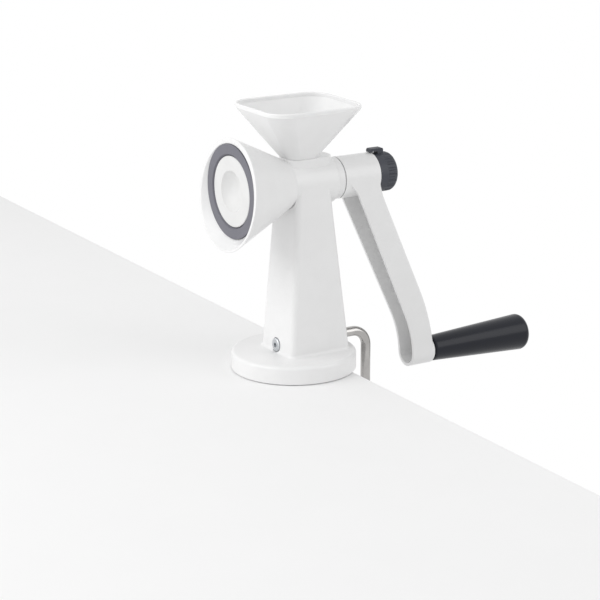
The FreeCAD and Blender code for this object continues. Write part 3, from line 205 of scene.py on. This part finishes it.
def moulded_plastic(name, colour, roughness, skin, skin_depth,
                    mottle=0.01, soft_light=0.0, shine=0.5):
    """Injection moulded plastic: a nearly even colour, a fine skin and faint flow marks.

    The skin has a grain of one size and depth. Mottle is the spread of the colour, soft light the
    share that passes under the surface, and shine the strength of the reflection.
    """
    flow_mark = 14 * MILLIMETRE
    swell_width, swell_depth = 5 * MILLIMETRE, 0.05 * MILLIMETRE
    light_reach = 2.5 * MILLIMETRE
    material, draft, place, shader = start_finish(name)
    flow = grain(draft, place, flow_mark, detail=2.0)
    fine = grain(draft, place, skin, detail=4.0, roughness=0.6)
    swell = grain(draft, place, swell_width, detail=2.0)
    draft.feed(shader, "Base Color", blend_shades(draft, flow, colour, mottle))
    draft.feed(shader, "Roughness", vary(draft, fine, roughness - 0.05, roughness + 0.06))
    wavy = relief(draft, swell, swell_depth, 0.35)
    draft.feed(shader, "Normal", relief(draft, fine, skin_depth, 0.5, wavy))
    shader.inputs["IOR"].default_value = 1.49
    shader.inputs["Specular IOR Level"].default_value = shine
    shader.inputs["Subsurface Weight"].default_value = soft_light
    shader.inputs["Subsurface Radius"].default_value = (1.0, 1.0, 1.0)
    shader.inputs["Subsurface Scale"].default_value = light_reach
    draft.arrange()
    return material


def drawn_steel(name, colour, roughness, tarnish=0.04):
    """Drawn or turned steel: fine lines along Z and a faint uneven tarnish."""
    line_width, line_depth = 0.4 * MILLIMETRE, 0.01 * MILLIMETRE
    line_stretch = (1.0, 1.0, 0.05)
    cloud_width = 9 * MILLIMETRE
    material, draft, place, shader = start_finish(name)
    lines = grain(draft, place, line_width, roughness=0.6, stretch=line_stretch)
    cloud = grain(draft, place, cloud_width, detail=4.0)
    draft.feed(shader, "Base Color", blend_shades(draft, cloud, colour, tarnish))
    draft.feed(shader, "Roughness", vary(draft, lines, roughness - 0.06, roughness + 0.1))
    draft.feed(shader, "Normal", relief(draft, lines, line_depth, 0.4))
    shader.inputs["Metallic"].default_value = 1.0
    draft.arrange()
    return material


def plated_steel(name, colour, roughness):
    """Zinc plated steel: pale crystal patches under a dull shine."""
    crystal_width = 1.4 * MILLIMETRE
    pit_width, pit_depth = 0.25 * MILLIMETRE, 0.015 * MILLIMETRE
    material, draft, place, shader = start_finish(name)
    crystals = draft.add("ShaderNodeTexVoronoi", {"Vector": place, "Scale": 1.0 / crystal_width})
    fine = grain(draft, place, pit_width)
    patches = blend_shades(draft, crystals.outputs["Distance"], colour, 0.06)
    draft.feed(shader, "Base Color", patches)
    draft.feed(shader, "Roughness", vary(draft, fine, roughness - 0.05, roughness + 0.12))
    draft.feed(shader, "Normal", relief(draft, fine, pit_depth, 0.5))
    shader.inputs["Metallic"].default_value = 1.0
    draft.arrange()
    return material


def soft_foam(name, colour, cell_width):
    """Dense cellular rubber: small round cells, matt, with a dusty bloom."""
    cell_depth = 0.12 * MILLIMETRE
    dust_width = 6 * MILLIMETRE
    material, draft, place, shader = start_finish(name)
    cells = draft.add("ShaderNodeTexVoronoi", {"Vector": place, "Scale": 1.0 / cell_width})
    dust = grain(draft, place, dust_width)
    draft.feed(shader, "Base Color", blend_shades(draft, dust, colour, 0.12))
    draft.feed(shader, "Roughness", vary(draft, dust, 0.8, 0.95))
    draft.feed(shader, "Normal", relief(draft, cells.outputs["Distance"], cell_depth, 0.8))
    draft.arrange()
    return material


def mill_finishes(look):
    """Every finish of the mill, by the name that PIECE_FINISH uses."""
    plastics = {
        "white_plastic": dict(
            colour=look.white, roughness=0.28,
            skin=0.3 * MILLIMETRE, skin_depth=0.012 * MILLIMETRE),
        "funnel_plastic": dict(
            colour=look.funnel, roughness=0.24, soft_light=0.5,
            skin=0.3 * MILLIMETRE, skin_depth=0.01 * MILLIMETRE),
        "cone_plastic": dict(
            colour=look.cone, roughness=0.42, mottle=0.02,
            skin=0.4 * MILLIMETRE, skin_depth=0.02 * MILLIMETRE),
        "grey_plastic": dict(
            colour=look.ring, roughness=0.46, mottle=0.04,
            skin=0.4 * MILLIMETRE, skin_depth=0.02 * MILLIMETRE),
        "grip_plastic": dict(
            colour=look.grip, roughness=0.24, mottle=0.05, shine=0.3,
            skin=0.5 * MILLIMETRE, skin_depth=0.012 * MILLIMETRE),
        "knob_plastic": dict(
            colour=look.knob, roughness=0.48, mottle=0.05,
            skin=0.3 * MILLIMETRE, skin_depth=0.02 * MILLIMETRE),
    }
    finishes = {name: moulded_plastic(name, **recipe) for name, recipe in plastics.items()}
    finishes["steel"] = drawn_steel("steel", TURNED_STEEL, roughness=0.24)
    finishes["rod_steel"] = drawn_steel("rod_steel", ROD_STEEL, roughness=0.14, tarnish=0.08)
    finishes["zinc_steel"] = plated_steel("zinc_steel", ZINC, roughness=0.36)
    finishes["soft_foot"] = soft_foam("soft_foot", look.foot, cell_width=0.5 * MILLIMETRE)
    finishes["soft_liner"] = soft_foam("soft_liner", LINER_RUBBER, cell_width=0.4 * MILLIMETRE)
    return finishes


def smooth_edges_group():
    """A tree that merges loose triangles and shades them smooth, with creases past an angle."""
    group = bpy.data.node_groups.new("Smooth Drawn Solid", "GeometryNodeTree")
    face = group.interface
    face.new_socket("Geometry", in_out="INPUT", socket_type="NodeSocketGeometry")
    distance = face.new_socket("Merge Distance", in_out="INPUT", socket_type="NodeSocketFloat")
    distance.default_value = MERGE_DISTANCE
    crease = face.new_socket("Crease Angle", in_out="INPUT", socket_type="NodeSocketFloat")
    crease.default_value = math.radians(SOLID_CREASE)
    face.new_socket("Geometry", in_out="OUTPUT", socket_type="NodeSocketGeometry")
    draft = NodeDraft(group)
    start = draft.add("NodeGroupInput")
    merged = draft.add(
        "GeometryNodeMergeByDistance",
        {"Geometry": start.outputs["Geometry"], "Distance": start.outputs["Merge Distance"]},
    )
    smooth = draft.add(
        "GeometryNodeSetShadeSmooth", {"Geometry": merged.outputs[0], "Shade Smooth": True}
    )
    angle = draft.add("GeometryNodeInputMeshEdgeAngle")
    sharp = draft.add(
        "FunctionNodeCompare",
        {0: angle.outputs["Unsigned Angle"], 1: start.outputs["Crease Angle"]},
        operation="GREATER_THAN",
    )
    creased = draft.add(
        "GeometryNodeSetShadeSmooth",
        {"Geometry": smooth.outputs[0], "Selection": sharp.outputs[0], "Shade Smooth": False},
        domain="EDGE",
    )
    draft.add("NodeGroupOutput", {"Geometry": creased.outputs[0]})
    draft.arrange()
    return group


def socket_key(group, name):
    """The identifier of a group's input, by its name."""
    for item in group.interface.items_tree:
        if item.item_type == "SOCKET" and item.in_out == "INPUT" and item.name == name:
            return item.identifier
    raise RuntimeError(f"the node group {group.name} has no input named {name}")


# ---------------------------------------------------------------- settings


def colour_setting(name, description, default):
    return bpy.props.FloatVectorProperty(
        name=name, description=description, subtype="COLOR", size=4, min=0.0, max=1.0,
        default=(*default, 1.0))


def length_setting(name, description, default):
    return bpy.props.FloatProperty(
        name=name, description=description, unit="LENGTH", default=default)


def angle_setting(name, description, degrees):
    return bpy.props.FloatProperty(
        name=name, description=description, subtype="ANGLE", unit="ROTATION",
        default=math.radians(degrees))


class MillFinishSettings(bpy.types.PropertyGroup):
    white: colour_setting(
        "White plastic", "Colour of the moulded housing, arm and bell", (0.82, 0.82, 0.82))
    funnel: colour_setting(
        "Funnel plastic", "Colour of the hopper", (0.815, 0.815, 0.815))
    cone: colour_setting(
        "Cone plastic", "Colour of the grinding cone and feed screw", (0.72, 0.72, 0.715))
    ring: colour_setting(
        "Ring plastic", "Colour of the grinding ring", (0.15, 0.149, 0.175))
    grip: colour_setting(
        "Grip plastic", "Colour of the handle's grip", (0.0075, 0.009, 0.0155))
    knob: colour_setting(
        "Knob plastic", "Colour of the fineness knob and the clamp's knob", (0.036, 0.04, 0.053))
    foot: colour_setting(
        "Foot pad", "Colour of the soft pad under the foot", (0.74, 0.74, 0.73))
    crease: angle_setting(
        "Crease angle", "Edges sharper than this stay crisp", SOLID_CREASE)


class MillThreadSettings(bpy.types.PropertyGroup):
    pitch: length_setting(
        "Pitch", "Advance of the clamp's thread in one turn", 3.0 * MILLIMETRE)
    depth: length_setting(
        "Depth", "Depth of the clamp's thread", 1.05 * MILLIMETRE)
    neck_radius: length_setting(
        "Neck radius", "Radius of the spindle where the pad turns on it", 3.5 * MILLIMETRE)
    neck_stand_out: length_setting(
        "Neck stand out", "Length of the neck that shows below the pad", 1.0 * MILLIMETRE)
    head_height: length_setting(
        "Head height", "Height of the spindle's head inside the pad", 2.4 * MILLIMETRE)
    chamfer: length_setting(
        "Chamfer", "Bevel at both ends of the spindle", 0.5 * MILLIMETRE)


class MillHopperSettings(bpy.types.PropertyGroup):
    rim_half_width: length_setting(
        "Rim half width", "Half the rim's size across the head", 40.4 * MILLIMETRE)
    rim_half_depth: length_setting(
        "Rim half depth", "Half the rim's size along the head", 44.7 * MILLIMETRE)
    rim_corner: length_setting(
        "Rim corner", "Radius of the rim's four corners", 19.2 * MILLIMETRE)
    lip_height: length_setting(
        "Lip height", "Height of the upright lip at the rim", 3.4 * MILLIMETRE)
    lip_round: length_setting(
        "Lip round", "Rounding of the lip's edges", 0.9 * MILLIMETRE)
    wall: length_setting(
        "Wall", "Thickness of the funnel's wall", 2.2 * MILLIMETRE)
    foot_half: length_setting(
        "Foot half size", "Half the funnel's size where it stands on the socket", 13.5 * MILLIMETRE)
    foot_corner: length_setting(
        "Foot corner", "Radius of the corners at the funnel's foot", 8.5 * MILLIMETRE)
    plug_half: length_setting(
        "Plug half size", "Half the size of the plug inside the socket", 11.0 * MILLIMETRE)
    plug_corner: length_setting(
        "Plug corner", "Radius of the plug's corners", 6.0 * MILLIMETRE)
    plug_depth: length_setting(
        "Plug depth", "Depth of the plug inside the socket", 6.5 * MILLIMETRE)
    throat_half: length_setting(
        "Throat half size", "Half the size of the hole that the seeds fall through",
        9.0 * MILLIMETRE)
    throat_corner: length_setting(
        "Throat corner", "Radius of the throat's corners", 4.5 * MILLIMETRE)


class MillGripSettings(bpy.types.PropertyGroup):
    length: length_setting(
        "Length", "Length of the grip", 100.6 * MILLIMETRE)
    neck_radius: length_setting(
        "Neck radius", "Radius of the grip beside the arm", 11.2 * MILLIMETRE)
    neck_round: length_setting(
        "Neck round", "Rounding of the edge beside the arm", 2.0 * MILLIMETRE)
    end_radius: length_setting(
        "End radius", "Radius that the taper reaches at the free end", 16.5 * MILLIMETRE)
    end_round: length_setting(
        "End round", "Rounding of the edge at the free end", 5.2 * MILLIMETRE)
    play: length_setting(
        "Play", "Gap between the axle and the bore", 0.3 * MILLIMETRE)


class MillStageSettings(bpy.types.PropertyGroup):
    azimuth: angle_setting(
        "Azimuth", "Turn of the camera about Z, from -Y towards +X", 58.779)
    elevation: angle_setting(
        "Elevation", "Height angle of the camera", 16.314)
    distance: length_setting(
        "Distance", "From the camera to the middle of the mill", 1.66875)
    aside: length_setting(
        "Aside", "Camera's place right of the middle", 0.005353)
    above: length_setting(
        "Above", "Camera's place above the middle", -0.040076)
    lens: bpy.props.FloatProperty(
        name="Lens", description="Focal length in millimetres", default=119.69)
    worktop_edge: length_setting(
        "Worktop edge", "Where the floor slab ends along Y", 0.0346)
    worktop_thickness: length_setting(
        "Worktop thickness", "Thickness of the floor slab", 0.0222)
    sky: bpy.props.FloatProperty(
        name="Sky", description="Strength of the even light", default=0.70)
    key: bpy.props.FloatProperty(
        name="Key lamp", description="Power of the large lamp in watts", default=16.5)
    fill: bpy.props.FloatProperty(
        name="Fill lamp", description="Power of the second lamp in watts", default=4.0)


# ---------------------------------------------------------------- pieces


def new_mesh_object(name, mesh):
    """An object with a mesh, at the origin of the scene."""
    thing = bpy.data.objects.new(name, mesh)
    bpy.context.scene.collection.objects.link(thing)
    return thing


def threaded_rod_group():
    """A tree that rolls a grid into a closed spindle: a screw thread, a narrow neck and a head.

    The grid's X runs once around the spindle and its Y runs up it.
    """
    group = bpy.data.node_groups.new("Threaded Spindle", "GeometryNodeTree")
    face = group.interface
    sizes = {
        "Radius": 5.0 * MILLIMETRE,
        "Neck Radius": 3.5 * MILLIMETRE,
        "Low End": 0.0,
        "Neck Low": 60.0 * MILLIMETRE,
        "Neck High": 65.0 * MILLIMETRE,
        "High End": 68.0 * MILLIMETRE,
        "Thread Low": 12.0 * MILLIMETRE,
        "Thread High": 58.0 * MILLIMETRE,
        "Pitch": 3.0 * MILLIMETRE,
        "Depth": 0.9 * MILLIMETRE,
        "Chamfer": 0.5 * MILLIMETRE,
    }
    for name, value in sizes.items():
        socket = face.new_socket(name, in_out="INPUT", socket_type="NodeSocketFloat")
        socket.default_value = value
    face.new_socket("Finish", in_out="INPUT", socket_type="NodeSocketMaterial")
    face.new_socket("Geometry", in_out="OUTPUT", socket_type="NodeSocketGeometry")
    draft = NodeDraft(group)
    maths = draft.maths
    start = draft.add("NodeGroupInput").outputs
    radius, pitch = start["Radius"], start["Pitch"]
    low_end, high_end = start["Low End"], start["High End"]
    around, along = 72, 520
    # half the crest's width in pitches, and how steeply the flank leaves it
    half_crest, flank_slope = 0.12, 3.4
    grid = draft.add(
        "GeometryNodeMeshGrid",
        {"Size X": 1.0, "Size Y": 1.0, "Vertices X": around + 1, "Vertices Y": along + 1},
    )
    position = draft.add("GeometryNodeInputPosition").outputs[0]
    place = draft.add("ShaderNodeSeparateXYZ", {0: position}).outputs
    turn = maths("MULTIPLY", maths("ADD", place["X"], 0.5), math.tau)
    row = maths("MULTIPLY", maths("ADD", place["Y"], 0.5), along)
    # the first and the last row close the ends, at the height of their neighbours
    run = maths("DIVIDE", maths("SUBTRACT", row, 1.0), along - 2.0, clamp=True)
    inner_row = maths("MULTIPLY", maths("GREATER_THAN", row, 0.5),
                      maths("LESS_THAN", row, along - 0.5))
    height = maths("ADD", maths("MULTIPLY", run, maths("SUBTRACT", high_end, low_end)), low_end)
    # 0 on the thread's crest, 0.5 in its root
    advance = maths("DIVIDE", height, pitch)
    wave = maths("PINGPONG", maths("SUBTRACT", advance, maths("DIVIDE", turn, math.tau)), 0.5)
    flank = maths("MULTIPLY", maths("SUBTRACT", wave, half_crest), flank_slope, clamp=True)
    # the thread runs in and out over one pitch
    rise = maths("DIVIDE", maths("SUBTRACT", height, start["Thread Low"]), pitch, clamp=True)
    fall = maths("DIVIDE", maths("SUBTRACT", start["Thread High"], height), pitch, clamp=True)
    cut = maths("MULTIPLY", maths("MULTIPLY", flank, maths("MINIMUM", rise, fall)), start["Depth"])
    in_neck = maths("MULTIPLY", maths("GREATER_THAN", height, start["Neck Low"]),
                    maths("LESS_THAN", height, start["Neck High"]))
    step = maths("MULTIPLY", in_neck, maths("SUBTRACT", radius, start["Neck Radius"]))
    nearest_end = maths("MINIMUM", maths("SUBTRACT", height, low_end),
                        maths("SUBTRACT", high_end, height))
    chamfer = maths("MAXIMUM", maths("SUBTRACT", start["Chamfer"], nearest_end), 0.0)
    off = maths("ADD", maths("ADD", cut, step), chamfer)
    reach = maths("MULTIPLY", maths("SUBTRACT", radius, off), inner_row)
    spot = draft.add(
        "ShaderNodeCombineXYZ",
        {
            "X": maths("MULTIPLY", reach, maths("COSINE", turn)),
            "Y": maths("MULTIPLY", reach, maths("SINE", turn)),
            "Z": height,
        },
    )
    rolled = draft.add("GeometryNodeSetPosition",
                       {"Geometry": grid.outputs[0], "Position": spot.outputs[0]})
    joined = draft.add("GeometryNodeMergeByDistance",
                       {"Geometry": rolled.outputs[0], "Distance": MERGE_DISTANCE})
    smooth = draft.add("GeometryNodeSetShadeSmooth",
                       {"Geometry": joined.outputs[0], "Shade Smooth": True})
    solid = draft.add("GeometryNodeRealizeInstances", {"Geometry": smooth.outputs[0]})
    finished = draft.add("GeometryNodeSetMaterial",
                         {"Geometry": solid.outputs[0], "Material": start["Finish"]})
    draft.add("NodeGroupOutput", {"Geometry": finished.outputs[0]})
    draft.arrange()
    return group


def grown_mesh(name, group, inputs):
    """Runs a node group on an empty mesh and keeps its result as a plain mesh object."""
    seed = new_mesh_object(name + "_seed", bpy.data.meshes.new(name + "_seed"))
    modifier = seed.modifiers.new("Grow", "NODES")
    modifier.node_group = group
    for label, value in inputs.items():
        modifier[socket_key(group, label)] = value
    seed.update_tag()
    graph = bpy.context.evaluated_depsgraph_get()
    mesh = bpy.data.meshes.new_from_object(seed.evaluated_get(graph))
    bpy.data.objects.remove(seed)
    mesh.name = name
    if not mesh.polygons:
        raise RuntimeError(f"{name}: the node group made no faces")
    return new_mesh_object(name, mesh)


def face_outwards(mesh):
    """Turns every face of a closed mesh outwards."""
    shape = bmesh.new()
    shape.from_mesh(mesh)
    bmesh.ops.recalc_face_normals(shape, faces=shape.faces)
    shape.to_mesh(mesh)
    shape.free()


def crease_sharp_edges(mesh, angle):
    """Marks the edges that bend more than an angle, so that smooth shading stops there."""
    shape = bmesh.new()
    shape.from_mesh(mesh)
    for edge in shape.edges:
        edge.smooth = edge.calc_face_angle(0.0) < angle
    shape.to_mesh(mesh)
    shape.free()


def rounded_outline(corners, steps=8):
    """A flat polyline through (x, y) corners, where a third number rounds a corner off."""
    outline = []
    for index, corner in enumerate(corners):
        spot = Vector(corner[:2])
        if len(corner) < 3:
            outline.append(spot)
            continue
        back = (Vector(corners[index - 1][:2]) - spot).normalized()
        ahead = (Vector(corners[(index + 1) % len(corners)][:2]) - spot).normalized()
        half_bend = back.angle(ahead) / 2
        middle = spot + (back + ahead).normalized() * corner[2] / math.sin(half_bend)
        first = spot + back * corner[2] / math.tan(half_bend) - middle
        last = spot + ahead * corner[2] / math.tan(half_bend) - middle
        for step in range(steps + 1):
            outline.append(middle + first.slerp(last, step / steps).normalized() * corner[2])
    return outline


def panel_ring(half_x, half_y, corner, steps=12):
    """The points of a rectangle with rounded corners, around the origin."""
    ring = []
    for quarter, (side_x, side_y) in enumerate(((1, 1), (-1, 1), (-1, -1), (1, -1))):
        for step in range(steps + 1):
            angle = (quarter + step / steps) * math.pi / 2
            ring.append((side_x * (half_x - corner) + corner * math.cos(angle),
                         side_y * (half_y - corner) + corner * math.sin(angle)))
    return ring


def worn_finish(node):
    """The finish that a drawn solid wears, for the piece that stands for it."""
    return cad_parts[node].data.materials[0]


def skinned_piece(name, rings, finish):
    """A mesh object through rings of equally many points, each ring joined to the next one."""
    shape = bmesh.new()
    rows = [[shape.verts.new(point) for point in ring] for ring in rings]
    for row, following in zip(rows, rows[1:]):
        for index in range(len(row)):
            after = (index + 1) % len(row)
            shape.faces.new((row[index], row[after], following[after], following[index]))
    bmesh.ops.remove_doubles(shape, verts=shape.verts, dist=MERGE_DISTANCE)
    bmesh.ops.dissolve_degenerate(shape, edges=shape.edges, dist=MERGE_DISTANCE)
    mesh = bpy.data.meshes.new(name)
    shape.to_mesh(mesh)
    shape.free()
    mesh.materials.append(finish)
    mesh.polygons.foreach_set("use_smooth", [True] * len(mesh.polygons))
    face_outwards(mesh)
    crease_sharp_edges(mesh, math.radians(SKIN_CREASE))
    piece = new_mesh_object(name, mesh)
    shade_evenly(piece)
    return piece


def shade_evenly(piece):
    """Lets the large faces set the shading, so that flats stay flat beside their rounded edges."""
    weigh = piece.modifiers.new("Even Shading", "WEIGHTED_NORMAL")
    weigh.keep_sharp = True


class MILL_OT_dress_solids(bpy.types.Operator):
    """Give every drawn solid its finish and smooth shading"""

    bl_idname = "mill.dress_solids"
    bl_label = "Dress Solids"

    def execute(self, context):
        look = context.scene.mill_finish
        finishes = mill_finishes(look)
        group = smooth_edges_group()
        for name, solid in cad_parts.items():
            if name not in PIECE_FINISH:
                raise RuntimeError(f"no finish is chosen for {name}")
            solid.data.materials.clear()
            solid.data.materials.append(finishes[PIECE_FINISH[name]])
            modifier = solid.modifiers.new("Smooth", "NODES")
            modifier.node_group = group
            modifier[socket_key(group, "Crease Angle")] = look.crease
            shade_evenly(solid)
        return {"FINISHED"}


class MILL_OT_mould_hopper(bpy.types.Operator):
    """Replace the plain hopper by a thin one with a soft upright lip"""

    bl_idname = "mill.mould_hopper"
    bl_label = "Mould Hopper"

    def execute(self, context):
        size = context.scene.mill_hopper
        low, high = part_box("hopper")
        middle_y = (low.y + high.y) / 2
        foot_top = low.z + size.plug_depth
        lip_low = high.z - size.lip_height
        foot = (size.foot_half, size.foot_half, size.foot_corner)
        plug = (size.plug_half, size.plug_half, size.plug_corner)
        throat = (size.throat_half, size.throat_half, size.throat_corner)
        rim = (size.rim_half_width, size.rim_half_depth, size.rim_corner)
        # the lip's section: how far in from the rim, and how high
        lip = rounded_outline([
            (0.0, foot_top),
            (0.0, lip_low),
            (0.0, high.z, size.lip_round),
            (size.wall, high.z, size.lip_round),
            (size.wall, lip_low),
        ])[1:]
        sections = [(throat, low.z), (plug, low.z), (plug, foot_top), (foot, foot_top)]
        sections += [(tuple(length - inset for length in rim), height) for inset, height in lip]
        sections += [(throat, foot_top), (throat, low.z)]
        rings = [
            [(x, middle_y + y, height) for x, y in panel_ring(*sizes)] for sizes, height in sections
        ]
        hopper = skinned_piece("thin_hopper", rings, worn_finish("hopper"))
        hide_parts("hopper")
        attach(hopper, "stand")
        return {"FINISHED"}


class MILL_OT_turn_grip(bpy.types.Operator):
    """Replace the plain grip by a tapered one with a flat end and a soft edge"""

    bl_idname = "mill.turn_grip"
    bl_label = "Turn Grip"

    def execute(self, context):
        size = context.scene.mill_grip
        low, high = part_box("grip")
        axle_low, axle_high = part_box("grip_axle")
        middle_z = (low.z + high.z) / 2
        end = low.y + size.length
        bore = (axle_high.x - axle_low.x) / 2 + size.play
        bore_end = axle_high.y + size.play
        # distance along the head's axis, and radius
        profile = rounded_outline([
            (bore_end, 0.0),
            (bore_end, bore),
            (low.y, bore),
            (low.y, size.neck_radius, size.neck_round),
            (end, size.end_radius, size.end_round),
            (end, 0.0),
        ], steps=12)
        around = 96
        turns = [math.tau * step / around for step in range(around)]
        rings = [
            [(radius * math.cos(turn), along, middle_z + radius * math.sin(turn)) for turn in turns]
            for along, radius in profile
        ]
        grip = skinned_piece("tapered_grip", rings, worn_finish("grip"))
        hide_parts("grip")
        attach(grip, "grip")
        return {"FINISHED"}


class MILL_OT_cut_spindle_thread(bpy.types.Operator):
    """Replace the plain clamp spindle by one with its screw thread"""

    bl_idname = "mill.cut_spindle_thread"
    bl_label = "Cut Spindle Thread"

    def execute(self, context):
        thread = context.scene.mill_thread
        low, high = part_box("clamp_spindle")
        knob_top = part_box("clamp_knob")[1].z
        pad_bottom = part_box("clamp_pad")[0].z
        radius = (high.x - low.x) / 2
        rod = grown_mesh(
            "threaded_spindle",
            threaded_rod_group(),
            {
                "Radius": radius,
                "Neck Radius": thread.neck_radius,
                "Low End": low.z,
                "Neck Low": pad_bottom - thread.neck_stand_out,
                "Neck High": high.z - thread.head_height,
                "High End": high.z,
                "Thread Low": knob_top - thread.pitch,
                "Thread High": pad_bottom - thread.neck_stand_out - thread.pitch / 2,
                "Pitch": thread.pitch,
                "Depth": thread.depth,
                "Chamfer": thread.chamfer,
                "Finish": worn_finish("clamp_spindle"),
            },
        )
        face_outwards(rod.data)
        crease_sharp_edges(rod.data, math.radians(THREAD_CREASE))
        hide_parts("clamp_spindle")
        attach(rod, "spindle")
        return {"FINISHED"}


class MILL_OT_set_stage(bpy.types.Operator):
    """Lay the pale floor slab and set the lamps, the sky and the camera"""

    bl_idname = "mill.set_stage"
    bl_label = "Set Stage"

    def execute(self, context):
        stage = context.scene.mill_stage
        scene = context.scene
        self.lay_floor(stage)
        self.light_sky(scene, stage)
        axes = self.view_axes(stage)
        self.hang_lamp("key_lamp", KEY_LAMP_PLACE, axes, stage.key, KEY_LAMP_WIDTH)
        self.hang_lamp("fill_lamp", FILL_LAMP_PLACE, axes, stage.fill, FILL_LAMP_WIDTH)
        self.place_camera(scene, stage, axes)
        scene.view_settings.view_transform = "Standard"
        return {"FINISHED"}

    def view_axes(self, stage):
        """The camera's up, its right and the way back to it."""
        turn, rise = stage.azimuth, stage.elevation
        level = math.cos(rise)
        back = Vector((math.sin(turn) * level, -math.cos(turn) * level, math.sin(rise)))
        right = Vector((math.cos(turn), math.sin(turn), 0.0))
        return back.cross(right), right, back

    def lay_floor(self, stage):
        """A slab with two rounded edges, a hair below the foot so that no faces share a plane."""
        reach = 1.6
        below = 0.2 * MILLIMETRE
        edge_round = 1.0 * MILLIMETRE
        mesh = bpy.data.meshes.new("floor_slab")
        shape = bmesh.new()
        bmesh.ops.create_cube(shape, size=1.0)
        depth = stage.worktop_thickness - below
        place = Matrix.Translation((0.0, stage.worktop_edge - reach / 2, -below - depth / 2))
        size = Matrix.Diagonal((2 * reach, reach, depth, 1.0))
        bmesh.ops.transform(shape, matrix=place @ size, verts=shape.verts)
        upright = [edge for edge in shape.edges if all(v.co.y > 0 for v in edge.verts)]
        bmesh.ops.bevel(shape, geom=upright, offset=edge_round, segments=3, profile=0.5,
                        affect="EDGES")
        shape.to_mesh(mesh)
        shape.free()
        slab = new_mesh_object("floor_slab", mesh)
        slab.data.materials.append(self.pale_floor())

    def pale_floor(self):
        material, draft, place, shader = start_finish("pale_floor")
        cloud = grain(draft, place, 60 * MILLIMETRE)
        draft.feed(shader, "Base Color", blend_shades(draft, cloud, FLOOR_GREY, 0.004))
        shader.inputs["Roughness"].default_value = 0.7
        return material

    def light_sky(self, scene, stage):
        """A sky that shows and mirrors as plain white and lights with the strength it is given."""
        world = bpy.data.worlds.new("plain_sky")
        scene.world = world
        world.use_nodes = True
        tree = world.node_tree
        tree.nodes.clear()
        draft = NodeDraft(tree)
        ray = draft.add("ShaderNodeLightPath").outputs
        seen = draft.maths("MAXIMUM", ray["Is Camera Ray"], ray["Is Glossy Ray"])
        seen = draft.maths("MAXIMUM", seen, ray["Is Transmission Ray"])
        even = draft.add("ShaderNodeBackground", {"Color": (1, 1, 1, 1), "Strength": stage.sky})
        white = draft.add("ShaderNodeBackground", {"Color": (1, 1, 1, 1), "Strength": 1.0})
        mix = draft.add("ShaderNodeMixShader", {0: seen, 1: even.outputs[0], 2: white.outputs[0]})
        draft.add("ShaderNodeOutputWorld", {"Surface": mix.outputs[0]})

    def hang_lamp(self, name, place, axes, watts, width):
        """A square lamp that faces the stage's middle."""
        spot = STAGE_MIDDLE.copy()
        for axis, distance in zip(axes, place):
            spot = spot + axis * distance
        lamp = bpy.data.lights.new(name, "AREA")
        lamp.energy = watts
        lamp.size = width
        thing = bpy.data.objects.new(name, lamp)
        bpy.context.scene.collection.objects.link(thing)
        thing.location = spot
        thing.rotation_euler = (spot - STAGE_MIDDLE).to_track_quat("Z", "Y").to_euler()

    def place_camera(self, scene, stage, axes):
        up, right, back = axes
        camera = bpy.data.cameras.new("view_camera")
        camera.lens = stage.lens
        camera.sensor_width = 36.0
        camera.clip_start = 0.05
        camera.clip_end = 20.0
        thing = bpy.data.objects.new("view_camera", camera)
        scene.collection.objects.link(thing)
        spot = STAGE_MIDDLE + back * stage.distance + right * stage.aside + up * stage.above
        turn = Matrix((right, up, back)).transposed().to_4x4()
        thing.matrix_world = Matrix.Translation(spot) @ turn
        scene.camera = thing


class MILL_PT_sidebar(bpy.types.Panel):
    """Lists the mill's pieces, its finishes and its stage"""

    bl_idname = "MILL_PT_sidebar"
    bl_label = "Poppy Seed Mill"
    bl_space_type = "VIEW_3D"
    bl_region_type = "UI"
    bl_category = "Mill"

    def draw(self, context):
        column = self.layout.column()
        for operator in PIECE_OPERATORS:
            column.operator(operator.bl_idname)
        for name, settings in SETTINGS.items():
            box = self.layout.box()
            for size in settings.__annotations__:
                box.prop(getattr(context.scene, name), size)


PIECE_OPERATORS = (
    MILL_OT_dress_solids,
    MILL_OT_mould_hopper,
    MILL_OT_turn_grip,
    MILL_OT_cut_spindle_thread,
    MILL_OT_set_stage,
)
SETTINGS = {
    "mill_finish": MillFinishSettings,
    "mill_hopper": MillHopperSettings,
    "mill_grip": MillGripSettings,
    "mill_thread": MillThreadSettings,
    "mill_stage": MillStageSettings,
}


def register():
    for settings in SETTINGS.values():
        bpy.utils.register_class(settings)
    for operator in PIECE_OPERATORS:
        bpy.utils.register_class(operator)
    bpy.utils.register_class(MILL_PT_sidebar)
    for name, settings in SETTINGS.items():
        setattr(bpy.types.Scene, name, bpy.props.PointerProperty(type=settings))


def unregister():
    for name in SETTINGS:
        delattr(bpy.types.Scene, name)
    bpy.utils.unregister_class(MILL_PT_sidebar)
    for operator in reversed(PIECE_OPERATORS):
        bpy.utils.unregister_class(operator)
    for settings in reversed(list(SETTINGS.values())):
        bpy.utils.unregister_class(settings)


def main():
    register()
    bpy.ops.mill.dress_solids()
    bpy.ops.mill.mould_hopper()
    bpy.ops.mill.turn_grip()
    bpy.ops.mill.cut_spindle_thread()
    bpy.ops.mill.set_stage()


if __name__ == "__main__":
    main()
